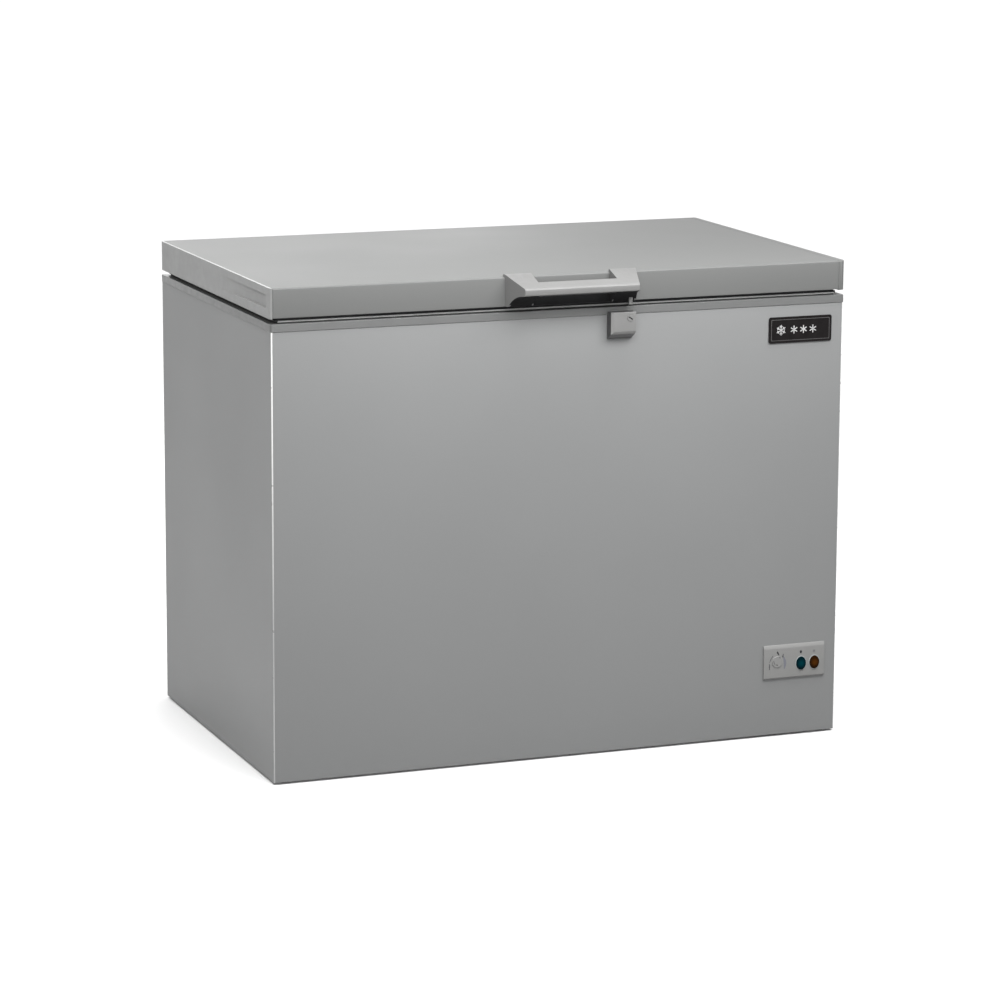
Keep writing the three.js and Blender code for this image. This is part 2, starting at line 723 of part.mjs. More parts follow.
add("relay_cover", relayCover(), FINISH.darkPlastic);
add("wiring_loom", wiringLoom(), FINISH.darkPlastic);
add("control_panel", controlPanel(), FINISH.greyPlastic);
add("thermostat_dial", thermostatDial(), FINISH.greyPlastic);
add("thermostat_body", thermostatBody(), FINISH.darkPlastic);
for (const button of SWITCHES) {
  add(`${button.name}_cap`, switchCap().translate(button.x, PANEL_FACE, CAP.z), button.finish);
  add(`${button.name}_body`, switchBody(button.x), FINISH.darkPlastic);
}

// ---------- badge plate ----------
const BADGE = { x: 461.5, z: HEIGHT - 122, width: 126, height: 48, depth: 2.4 };
const badgeOutline = rectangle(
  BADGE.x - BADGE.width / 2, BADGE.x + BADGE.width / 2,
  BADGE.z - BADGE.height / 2, BADGE.z + BADGE.height / 2, 5,
);
add(
  "badge_plate",
  prismY(badgeOutline, SHELL_FRONT - GAP - BADGE.depth, SHELL_FRONT - GAP, 3),
  FINISH.black,
);

// ---------- lock ----------
const LOCK = {
  left: 80, right: 127, top: HEIGHT - 70.5, bottom: HEIGHT - 121, faceBottom: HEIGHT - 105,
  depth: 22, chamfer: 6, chamferDepth: 3, keyX: 116.5, keyZ: HEIGHT - 81.5, keyRadius: 6,
};

// Die-cast case whose underside slants back to the cabinet, hollow from behind.
function lockCase() {
  const { left, right, top, bottom, faceBottom, depth, chamfer, chamferDepth } = LOCK;
  const back = SHELL_FRONT - GAP;
  const face = SHELL_FRONT - depth;
  const profile = outline(
    [
      [back, bottom], [back, FRAME_BOTTOM - 1], [back - 1.8, FRAME_BOTTOM - 1], [back - 1.8, top],
      [face, top], [face, faceBottom], [face + chamferDepth, faceBottom - 5], [back - 1, bottom],
    ],
    [0, 0, 0, 0, 1, 0.5, 0.5, 0.5],
  );
  const plan = outline(
    [
      [left, back + 1], [left, face + chamferDepth], [left + chamfer, face],
      [left + chamfer, face - 1], [right, face - 1], [right, back + 1],
    ],
  );
  const hollow = box(left + 12, right - 2.5, face + 4, back + 1, faceBottom + 2, top - 3);
  const bore = rod([LOCK.keyX, face - 1, LOCK.keyZ], [LOCK.keyX, face + 5, LOCK.keyZ], LOCK.keyRadius + 0.3);
  return cut(
    common(prismX(profile, left - 1, right + 1, 3), prismZ(plan, bottom - 1, top + 1)),
    hollow, bore,
  );
}

// Key cylinder with its key slot, ending just in front of the cam.
function lockCylinder() {
  const plug = turnedToFront([
    [0, -12], [3, -12], [3, -9.5], [LOCK.keyRadius, -9.5], [LOCK.keyRadius, 0.4],
    [LOCK.keyRadius - 0.5, 0.9], [0, 0.9],
  ], 20);
  const slot = box(-0.9, 0.9, -5, 0, -4, 4);
  return cut(plug, slot).translate(LOCK.keyX, SHELL_FRONT - LOCK.depth, LOCK.keyZ);
}

// Cam that the cylinder turns: it hangs down when unlocked.
function lockCam() {
  const front = SHELL_FRONT - LOCK.depth + 12 + GAP;
  const arm = rectangle(LOCK.keyX - 4.5, LOCK.keyX + 4.5, LOCK.keyZ - 19, LOCK.keyZ + 5, 3);
  return prismY(arm, front, front + 2.5, 3);
}

add("lock_case", lockCase(), FINISH.greyPlastic);
add("lock_cylinder", lockCylinder(), FINISH.steel);
add("lock_cam", lockCam(), FINISH.zinc);

// ---------- lid ----------
const END_WIDTH = { left: 4.2, right: 12.4 }; // the caps as seen from the front
const CAP_DROP = 1.5; // the end caps reach lower than the folded sheet
const SKIN_LEFT = -LID_SIDE + END_WIDTH.left + GAP;
const SKIN_RIGHT = LID_SIDE - END_WIDTH.right - GAP;
const PLUG_REACH = 6; // how far the caps reach into the folded sheet
const LID_ROUND = 3;
const LIP = 12; // width of the sheet's folded edge underneath

// Folded sheet: top, front and back, with narrow returns underneath.
function lidSkin() {
  const t = SHEET;
  const profile = outline(
    [
      [FRONT, LID_BOTTOM], [FRONT, HEIGHT], [BACK, HEIGHT], [BACK, LID_BOTTOM],
      [BACK - LIP, LID_BOTTOM], [BACK - LIP, LID_BOTTOM + t], [BACK - t, LID_BOTTOM + t],
      [BACK - t, HEIGHT - t], [FRONT + t, HEIGHT - t], [FRONT + t, LID_BOTTOM + t],
      [FRONT + LIP, LID_BOTTOM + t], [FRONT + LIP, LID_BOTTOM],
    ],
    [1, LID_ROUND, LID_ROUND, 1, 0, 0, 0, LID_ROUND - t, LID_ROUND - t, 0, 0, 0],
  );
  return prismX(profile, SKIN_LEFT, SKIN_RIGHT, 4);
}

const GRIP = { start: 25, length: 268, depth: 7, top: 13.6, bottom: 37.6 };

// Moulded end of the lid, with a long recess that deepens towards the front as a hand grip.
function lidEndCap(side) {
  const skinEnd = side > 0 ? SKIN_RIGHT : -SKIN_LEFT;
  const profile = rectangle(FRONT, BACK, LID_BOTTOM - CAP_DROP, HEIGHT, LID_ROUND);
  const cap = prismX(profile, skinEnd + GAP, LID_SIDE, 4);
  const plug = prismX(
    rectangle(FRONT + 2, BACK - 2, LID_BOTTOM + 2, HEIGHT - 2, 2),
    skinEnd - PLUG_REACH, skinEnd + 1, 2,
  );
  const grip = outline([
    [LID_SIDE + 1, FRONT + GRIP.start], [LID_SIDE - GRIP.depth, FRONT + GRIP.start],
    [LID_SIDE, FRONT + GRIP.start + GRIP.length], [LID_SIDE + 1, FRONT + GRIP.start + GRIP.length],
  ]);
  const rounded = common(join(cap, plug), prismZ(outerPlan(0, 10), LID_BOTTOM - 9, HEIGHT + 9));
  const made = cut(rounded, prismZ(grip, HEIGHT - GRIP.bottom, HEIGHT - GRIP.top));
  return side > 0 ? made : mirrored(made);
}

// The same piece for the other hand.
function mirrored(geometry) {
  const solid = toSolid(geometry).mirror([1, 0, 0]);
  return toGeometry(solid);
}

const FILL_LEFT = SKIN_LEFT + PLUG_REACH + GAP;
const FILL_RIGHT = SKIN_RIGHT - PLUG_REACH - GAP;
const LINER_EDGE = LIP + GAP;
const DISH = { top: LID_BOTTOM, drop: 5.5, inset: 12 };
const dishPlan = (shrink) => {
  const side = ROOM.side - DISH.inset - shrink;
  const front = ROOM.front + DISH.inset + shrink;
  const back = ROOM.back - DISH.inset - shrink;
  return rectangle(-side, side, front, back, 20);
};

// White liner under the lid: a flat edge that holds the seal, round a shallow dish.
function lidLiner() {
  const edge = rectangle(FILL_LEFT, FILL_RIGHT, FRONT + LINER_EDGE, BACK - LINER_EDGE, 2);
  const dishBottom = LID_BOTTOM - DISH.drop;
  return cut(
    join(
      prismZ(edge, LID_BOTTOM, LID_BOTTOM + SHEET, 2),
      prismZ(dishPlan(0), dishBottom, LID_BOTTOM + 0.5, 3),
    ),
    prismZ(dishPlan(SHEET), dishBottom + SHEET, LID_BOTTOM + 5, 3),
  );
}

function lidFoam() {
  const inset = SHEET + GAP;
  const section = rectangle(FRONT + inset, BACK - inset, LID_BOTTOM + SHEET + GAP, HEIGHT - inset, 2);
  const block = prismX(section, FILL_LEFT, FILL_RIGHT, 2);
  const dish = prismZ(
    dishPlan(SHEET + GAP), LID_BOTTOM - DISH.drop + SHEET + GAP, LID_BOTTOM + 5, 3,
  );
  return join(block, dish);
}

// Seal round the lid's underside: a foot on the frame, a magnet bead and a neck.
function lidGasket() {
  const ring = (outside, inside, z0, z1) =>
    cut(prismZ(outerPlan(outside, 8), z0, z1, 2), prismZ(outerPlan(inside, 8), z0 - 1, z1 + 1, 2));
  const foot = FRAME_TOP + GAP;
  const bead = foot + 2.1;
  const neck = bead + 4.1;
  return join(
    ring(14, 26, foot, bead), ring(11, 29, bead, neck), ring(14.5, 26, neck, LID_BOTTOM - GAP),
  );
}

add("lid_skin", lidSkin(), FINISH.greyPaint);
add("lid_end_cap_left", lidEndCap(-1), FINISH.greyPlastic);
add("lid_end_cap_right", lidEndCap(1), FINISH.greyPlastic);
add("lid_liner", lidLiner(), FINISH.white);
add("lid_foam", lidFoam(), FINISH.foam);
add("lid_gasket", lidGasket(), FINISH.rubber);

// ---------- handle ----------
const HANDLE = {
  x: 8.5, rootHalf: 125, barHalf: 108.5, openingHalf: 75, barBack: 33.5, wall: 3.5, lip: 6, rise: 5,
};

// A point given by its reach in front of the lid and its height above the lid's top.
const handlePoint = (reach, height) => [FRONT - reach, HEIGHT + height];

function handleOutline() {
  const shape = new THREE.Shape();
  shape.moveTo(...handlePoint(GAP, -52));
  shape.lineTo(...handlePoint(GAP, GAP));
  shape.lineTo(...handlePoint(-HANDLE.lip, GAP));
  shape.lineTo(...handlePoint(-HANDLE.lip, HANDLE.rise - 0.5));
  shape.lineTo(...handlePoint(-1, HANDLE.rise));
  shape.lineTo(...handlePoint(52.6, -13.2));
  shape.quadraticCurveTo(...handlePoint(56.6, -14.4), ...handlePoint(HANDLE_REACH, -17.5));
  shape.lineTo(...handlePoint(56.4, -25.4));
  shape.quadraticCurveTo(...handlePoint(56.2, -28), ...handlePoint(53, -28.2));
  shape.quadraticCurveTo(...handlePoint(24, -30), ...handlePoint(9, -52));
  shape.closePath();
  return shape;
}

function handleHollow() {
  return outline(
    [
      handlePoint(3.5, -60), handlePoint(3.5, -1.2), handlePoint(50.5, -16.8),
      handlePoint(53.5, -27), handlePoint(53.5, -60),
    ],
    [0, 1, 3, 0, 0],
  );
}

// Plan of the handle: its cheeks lean in from the lid to the bar.
function handlePlan(inset) {
  const back = FRONT + HANDLE.lip + 1;
  const front = FRONT - HANDLE_REACH - 1;
  const root = HANDLE.rootHalf + 2 - inset;
  const bar = HANDLE.barHalf - inset;
  return outline([[-root, back], [-bar, front], [bar, front], [root, back]]);
}

// One moulding: two hollow cheeks joined by a hollow bar, open underneath.
function handle() {
  const reach = HANDLE.rootHalf + 5;
  const { openingHalf, barBack } = HANDLE;
  const body = common(
    prismX(handleOutline(), -reach, reach, 6),
    prismZ(handlePlan(0), HEIGHT - 70, HEIGHT + 10),
  );
  const fingers = prismZ(
    rectangle(-openingHalf, openingHalf, FRONT - barBack, FRONT + HANDLE.lip + 1, 0),
    HEIGHT - 70, HEIGHT + 10,
  );
  const hollow = cut(
    common(
      prismX(handleHollow(), -reach, reach, 3),
      prismZ(handlePlan(HANDLE.wall), HEIGHT - 70, HEIGHT + 10),
    ),
    box(-openingHalf - 3, openingHalf + 3, FRONT - barBack - 3, FRONT + 9, HEIGHT - 70, HEIGHT + 9),
  );
  return cut(body, fingers, hollow);
}

const STRIKER = { x0: 115, x1: 122.5, near: 9, far: 15, bottom: -58 };

// Post inside the handle's right cheek that comes down towards the lock.
function lockStriker() {
  const { x0, x1, near, far, bottom } = STRIKER;
  const post = box(x0, x1, FRONT - far, FRONT - near, HEIGHT + bottom, HEIGHT - 12);
  const foot = box(x0 - 8, x1, FRONT - far, FRONT - near + 5, HEIGHT - 15, HEIGHT - 12);
  return join(post, foot);
}

add("handle", handle().translate(HANDLE.x, 0, 0), FINISH.handlePlastic);
add("lock_striker", lockStriker(), FINISH.steel);

// ---------- hinges ----------
const HINGE = {
  x: 360, y: BACK + HINGE_OFFSET, z: FRAME_TOP - 7, halfWidth: 23, plate: 2.5, ear: 2.5,
  pinRadius: 4, bore: 4.25, barrel: 7.5, baseHeight: 92,
};

function hingeBase() {
  const { y, z, halfWidth, plate, ear, baseHeight } = HINGE;
  const face = SHELL_BACK + GAP;
  const top = FRAME_BOTTOM - 5;
  const cheek = new THREE.Shape();
  cheek.moveTo(face, top - baseHeight);
  cheek.lineTo(face, top);
  cheek.lineTo(y - EAR_RADIUS, z - 4);
  cheek.lineTo(y - EAR_RADIUS, z);
  cheek.absarc(y, z, EAR_RADIUS, Math.PI, 0, true);
  cheek.lineTo(y + 3, z - 30);
  cheek.lineTo(face + plate, top - baseHeight);
  cheek.closePath();
  const leaf = box(-halfWidth, halfWidth, face, face + plate, top - baseHeight, top);
  const ears = [-halfWidth, halfWidth - ear].map((x) => prismX(cheek, x, x + ear));
  return cut(join(leaf, ...ears), rod([-halfWidth - 1, y, z], [halfWidth + 1, y, z], HINGE.bore));
}

function hingePin() {
  const end = HINGE.halfWidth + GAP;
  const pin = turned([
    [0, -end - 2], [5, -end - 2], [6, -end], [HINGE.pinRadius, -end], [HINGE.pinRadius, end],
    [6, end], [5, end + 2], [0, end + 2],
  ], 16);
  return pin.rotateY(Math.PI / 2).translate(0, HINGE.y, HINGE.z);
}

// Lid half of the hinge: a leaf on the lid's back face and a barrel round the pin.
function hingeArm() {
  const { y, z, halfWidth, plate, ear, barrel } = HINGE;
  const face = BACK + GAP;
  const left = -halfWidth + ear + GAP * 2;
  const right = -1;
  const web = outline([
    [face, LID_BOTTOM + 3], [y - barrel, z], [y + barrel, z], [face + plate, LID_BOTTOM + 32],
    [face, LID_BOTTOM + 32],
  ]);
  const leaf = box(-halfWidth, halfWidth, face, face + plate, LID_BOTTOM + 3, LID_BOTTOM + 47);
  return cut(
    join(leaf, prismX(web, left, right), rod([left, y, z], [right, y, z], barrel)),
    rod([left - 1, y, z], [right + 1, y, z], HINGE.bore),
  );
}

// Torsion spring beside the barrel, its tail resting on the base.
function hingeSpring() {
  const turns = 4;
  const stepsPerTurn = 9;
  const coil = 6.4;
  const wire = 1.4;
  const start = 1.8;
  const end = HINGE.halfWidth - HINGE.ear - 2;
  const points = [];
  for (let i = 0; i <= turns * stepsPerTurn; i++) {
    const angle = (i / stepsPerTurn) * 2 * Math.PI;
    const x = start + ((end - start) * i) / (turns * stepsPerTurn);
    points.push(
      new THREE.Vector3(x, HINGE.y - coil * Math.cos(angle), HINGE.z + coil * Math.sin(angle)),
    );
  }
  points.push(new THREE.Vector3(end, HINGE.y - coil - 1, HINGE.z - 26));
  points.reverse();
  return tube(points, wire);
}

for (const [hand, sign] of [["left", -1], ["right", 1]]) {
  const x = sign * HINGE.x;
  add(`hinge_base_${hand}`, hingeBase().translate(x, 0, 0), FINISH.zinc);
  add(`hinge_pin_${hand}`, hingePin().translate(x, 0, 0), FINISH.steel);
  add(`hinge_spring_${hand}`, hingeSpring().translate(x, 0, 0), FINISH.steel);
  add(`hinge_arm_${hand}`, hingeArm().translate(x, 0, 0), FINISH.zinc);
}

// ---------- basket ----------
const BASKET = {
  x: 345, halfWidth: 123, clearance: 8.5, bottom: LEDGE_TOP - 215.5, top: LEDGE_TOP - 25.5,
  wall: 4, wire: 2.2, handleHalf: 60,
};
const basketFront = ROOM.front + BASKET.clearance;
const basketBack = ROOM.back - BASKET.clearance;

function basketTub() {
  const { x, halfWidth, bottom, top, wall } = BASKET;
  const tub = (inset, z0, z1) =>
    prismZ(
      rectangle(
        x - halfWidth + inset, x + halfWidth - inset, basketFront + inset, basketBack - inset, 14,
      ), z0, z1, 2,
    );
  return cut(tub(0, bottom, top), tub(wall, bottom + wall, top + 1));
}

// Wire bail that stands up from the basket's rim and rests its bar on the frame's ledge.
function basketHandle(edge, outward) {
  const { x, wire, handleHalf } = BASKET;
  const y = edge - outward;
  const low = BASKET.top + wire + 2 * GAP + 1;
  const high = LEDGE_TOP + wire + 0.5;
  const out = y + outward * 18;
  const corners = [
    [x - handleHalf + 14, y, low], [x - handleHalf, y, low], [x - handleHalf, y, high],
    [x - handleHalf, out, high], [x + handleHalf, out, high], [x + handleHalf, y, high],
    [x + handleHalf, y, low], [x + handleHalf - 14, y, low],
  ];
  return pipe(corners, wire, 5);
}

add("basket", basketTub(), FINISH.wire);
add("basket_handle_front", basketHandle(basketFront, -1), FINISH.wire);
add("basket_handle_back", basketHandle(basketBack, 1), FINISH.wire);

export default freezer;
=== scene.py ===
"""Looks of a chest freezer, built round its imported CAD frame. Metres, +X right, +Y back, +Z up."""

import json
import math

import bmesh
import bpy
from mathutils import Matrix, Vector


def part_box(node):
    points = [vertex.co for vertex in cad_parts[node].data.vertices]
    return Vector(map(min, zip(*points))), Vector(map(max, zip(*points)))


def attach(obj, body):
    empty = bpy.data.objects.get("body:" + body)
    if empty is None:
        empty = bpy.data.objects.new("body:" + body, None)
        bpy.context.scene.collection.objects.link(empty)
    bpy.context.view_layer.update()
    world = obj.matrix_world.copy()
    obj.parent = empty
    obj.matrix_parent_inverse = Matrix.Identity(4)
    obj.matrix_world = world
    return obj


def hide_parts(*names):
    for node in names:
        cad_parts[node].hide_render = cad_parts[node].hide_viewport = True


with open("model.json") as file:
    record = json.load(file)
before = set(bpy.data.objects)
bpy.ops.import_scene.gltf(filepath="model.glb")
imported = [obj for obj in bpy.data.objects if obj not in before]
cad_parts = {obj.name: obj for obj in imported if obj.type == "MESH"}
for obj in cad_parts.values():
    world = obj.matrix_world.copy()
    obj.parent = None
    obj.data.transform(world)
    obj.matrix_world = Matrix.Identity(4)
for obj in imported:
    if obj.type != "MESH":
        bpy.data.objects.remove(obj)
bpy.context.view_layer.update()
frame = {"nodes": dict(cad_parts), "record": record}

MM = 0.001
RECORD = frame["record"]
BODY_OF = {
    node: body for body, nodes in RECORD["behaviour"]["bodies"].items() for node in nodes
}
SLOT_OF = {row["node"]: row["material_slot"] for row in RECORD["subparts"]}
X, Y, Z = Vector((1, 0, 0)), Vector((0, 1, 0)), Vector((0, 0, 1))


# ---------- camera ----------
CAMERA = {  # lens in mm, place in metres, turns in degrees
    "lens": 135.67,
    "place": (-2.5185, -6.4404, 1.8121),
    "yaw": -21.362,
    "pitch": 11.407,
    "roll": 0.307,
}


def make_camera():
    yaw, pitch, roll = (math.radians(CAMERA[key]) for key in ("yaw", "pitch", "roll"))
    forward = Vector((
        -math.sin(yaw) * math.cos(pitch), math.cos(yaw) * math.cos(pitch), -math.sin(pitch),
    ))
    level = Vector((math.cos(yaw), math.sin(yaw), 0))
    upright = level.cross(forward)
    right = level * math.cos(roll) + upright * math.sin(roll)
    up = upright * math.cos(roll) - level * math.sin(roll)
    camera = bpy.data.objects.new("camera", bpy.data.cameras.new("camera"))
    camera.data.lens = CAMERA["lens"]
    camera.data.clip_end = 300
    turn = Matrix((right, up, -forward)).transposed().to_4x4()
    camera.matrix_world = Matrix.Translation(CAMERA["place"]) @ turn
    bpy.context.scene.collection.objects.link(camera)
    bpy.context.scene.camera = camera


make_camera()


# ---------- materials ----------
class Look:
    """A Principled material whose colour, roughness and relief vary over the object's own space."""

    def __init__(self, name, **sockets):
        self.material = bpy.data.materials.new(name)
        self.material.use_nodes = True
        self.tree = self.material.node_tree
        self.shader = self.tree.nodes["Principled BSDF"]
        for socket, value in sockets.items():
            self.shader.inputs[socket.replace("_", " ")].default_value = value
        self.place = self.node("TexCoord").outputs["Object"]

    def node(self, kind, **inputs):
        made = self.tree.nodes.new("ShaderNode" + kind)
        for name, value in inputs.items():
            socket = made.inputs[name.replace("_", " ")]
            if isinstance(value, bpy.types.NodeSocket):
                self.tree.links.new(value, socket)
            else:
                socket.default_value = value
        return made

    def stretched(self, scale):
        return self.node("Mapping", Vector=self.place, Scale=scale).outputs["Vector"]

    def noise(self, scale, detail=2.0, place=None):
        """Noise from about 0.3 to 0.7, one feature in 1/scale metres."""
        made = self.node("TexNoise", Vector=place or self.place, Scale=scale, Detail=detail)
        return made.outputs["Fac"]

    def cells(self, scale, feature="F1", output="Distance"):
        made = self.node("TexVoronoi", Vector=self.place, Scale=scale)
        made.feature = feature
        return made.outputs[output]

    def mean(self, first, second, weight=0.5):
        mixed = self.node("Mix", Factor=weight)
        for socket, value in (("A", first), ("B", second)):
            self.tree.links.new(value, mixed.inputs[socket])
        return mixed.outputs["Result"]

    def tones(self, factor, dark, light, low=0.3, high=0.7):
        """Base colour from one tone to another as the factor goes from low to high."""
        ramp = self.node("ValToRGB", Fac=factor)
        stops = ramp.color_ramp.elements
        stops[0].position, stops[1].position = low, high
        stops[0].color, stops[1].color = (*dark, 1), (*light, 1)
        self.tree.links.new(ramp.outputs["Color"], self.shader.inputs["Base Color"])

    def tinted(self, factor, color, spread, low=0.3, high=0.7):
        """Base colour that strays from one colour by a fraction of it either way."""
        dark = [c * (1 - spread) for c in color]
        light = [c * (1 + spread) for c in color]
        self.tones(factor, dark, light, low, high)

    def rough(self, factor, low, high):
        made = self.node("MapRange", Value=factor, From_Min=0.3, From_Max=0.7, To_Min=low, To_Max=high)
        self.tree.links.new(made.outputs["Result"], self.shader.inputs["Roughness"])

    def relief(self, height, depth, strength=1.0):
        """Raises the surface by the height, which is 1 at "depth" metres."""
        bump = self.node("Bump", Height=height, Distance=depth, Strength=strength)
        normal = self.shader.inputs["Normal"]
        if normal.is_linked:
            self.tree.links.new(normal.links[0].from_socket, bump.inputs["Normal"])
        self.tree.links.new(bump.outputs["Normal"], normal)


def painted_sheet(name, color, flake, roughness=0.36):
    """Silver-grey enamel on thin sheet: fine flake, orange peel, and the sheet's faint waves."""
    look = Look(name, Metallic=flake, Specular_IOR_Level=0.3)
    cloud = look.noise(2.3)
    look.tinted(look.mean(look.noise(2400, 1.0), cloud), color, 0.05)
    look.rough(cloud, roughness, roughness + 0.08)
    look.relief(look.noise(420), 0.03 * MM, 0.6)
    look.relief(look.noise(5, 0.0), 0.5 * MM, 0.25)
    return look.material


def fold_painted_highlight(name, dull, bright):
    """Metal along the cabinet's front edges whose colour grows paler towards the top: a painted
    highlight.
    """
    look = Look(name, Metallic=0.5)
    up = look.node("SeparateXYZ", Vector=look.place).outputs["Z"]
    # colour ramp up the strip's height: painted highlight, brightest at the top
    look.tones(look.mean(up, look.noise(300), 0.06), dull, bright, 0.3, 0.72)
    look.rough(look.noise(60), 0.26, 0.36)
    look.relief(look.noise(500), 0.02 * MM)
    return look.material


def moulded_plastic(name, color, roughness=0.5, grain=0.04, **sockets):
    """Injection-moulded plastic with a fine spark-eroded grain."""
    look = Look(name, **sockets)
    look.tinted(look.mean(look.noise(14), look.noise(1500)), color, 0.05)
    look.rough(look.noise(55), roughness - 0.05, roughness + 0.05)
    look.relief(look.noise(1900, 3.0), grain * MM)
    return look.material


def embossed_liner(name, color):
    """Painted sheet with a stucco embossing."""
    look = Look(name, Coat_Weight=0.2, Coat_Roughness=0.35)
    pebble = look.cells(190, "SMOOTH_F1")
    look.tinted(look.mean(look.noise(6), pebble, 0.3), color, 0.03)
    look.rough(look.noise(30), 0.3, 0.4)
    look.relief(pebble, 0.5 * MM, 0.7)
    return look.material


def soft_rubber(name, color, roughness=0.6, shine=0.35):
    look = Look(name, Specular_IOR_Level=shine)
    look.tinted(look.mean(look.noise(25), look.noise(700)), color, 0.18)
    look.rough(look.noise(90), roughness - 0.06, roughness + 0.08)
    look.relief(look.noise(1100), 0.03 * MM)
    return look.material


def gloss_enamel(name, color, roughness=0.12):
    """Smooth black finish with faint dust and haze."""
    look = Look(name, Specular_IOR_Level=0.1)
    look.tinted(look.noise(60, 4.0), color, 0.2)
    look.rough(look.noise(35, 4.0), roughness, roughness + 0.1)
    look.relief(look.noise(260), 0.01 * MM)
    return look.material


def galvanised(name, color):
    """Zinc with its spangle: flat crystals that each reflect a little differently."""
    look = Look(name, Metallic=0.9)
    crystal = look.cells(110, "F1", "Color")
    shade = look.node("RGBToBW", Color=crystal).outputs["Val"]
    look.tinted(shade, color, 0.12, 0.1, 0.9)
    look.rough(shade, 0.38, 0.5)
    look.relief(shade, 0.02 * MM, 0.4)
    return look.material


def drawn_metal(name, color, roughness, grain=(900, 60, 60)):
    """Turned or drawn metal with hair-fine lines."""
    look = Look(name, Metallic=1.0)
    lines = look.noise(1.0, 3.0, look.stretched(grain))
    look.tinted(look.mean(lines, look.noise(40)), color, 0.12)
    look.rough(lines, roughness - 0.06, roughness + 0.1)
    look.relief(lines, 0.01 * MM, 0.5)
    return look.material


def foamed(name, color):
    look = Look(name, Specular_IOR_Level=0.2)
    bubbles = look.cells(420)
    look.tinted(look.mean(bubbles, look.noise(8)), color, 0.15)
    look.rough(bubbles, 0.85, 0.97)
    look.relief(bubbles, 0.6 * MM)
    return look.material


def lens(name, rim, middle, centre, radius):
    """Coloured cap, deeper in tone towards its rim."""
    look = Look(name, Specular_IOR_Level=0.02)
    away = look.node("VectorMath", Vector=look.place)
    away.operation = "DISTANCE"
    away.inputs[1].default_value = centre
    spread = look.node("MapRange", Value=away.outputs["Value"], From_Max=radius).outputs["Result"]
    mottled = look.mean(spread, look.noise(500), 0.15)
    look.tones(mottled, middle, rim, 0.35, 0.95)
    look.rough(look.noise(120), 0.22, 0.32)
    look.relief(look.noise(900), 0.02 * MM)
    return look.material


def printed(name, color):
    """Thin pad-printed ink."""
    look = Look(name, Specular_IOR_Level=0.3)
    look.tinted(look.noise(900, 4.0), color, 0.1)
    look.rough(look.noise(300), 0.45, 0.55)
    look.relief(look.noise(2200), 0.01 * MM)
    return look.material


def pale_floor():
    look = Look("pale_floor", Specular_IOR_Level=0.1)
    look.tinted(look.noise(0.7), (0.62, 0.62, 0.62), 0.01)
    look.rough(look.noise(3), 0.85, 0.95)
    return look.material


def centre_of(node):
    low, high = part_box(node)
    return (low + high) / 2


def half_width(node):
    low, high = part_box(node)
    return (high.x - low.x) / 2


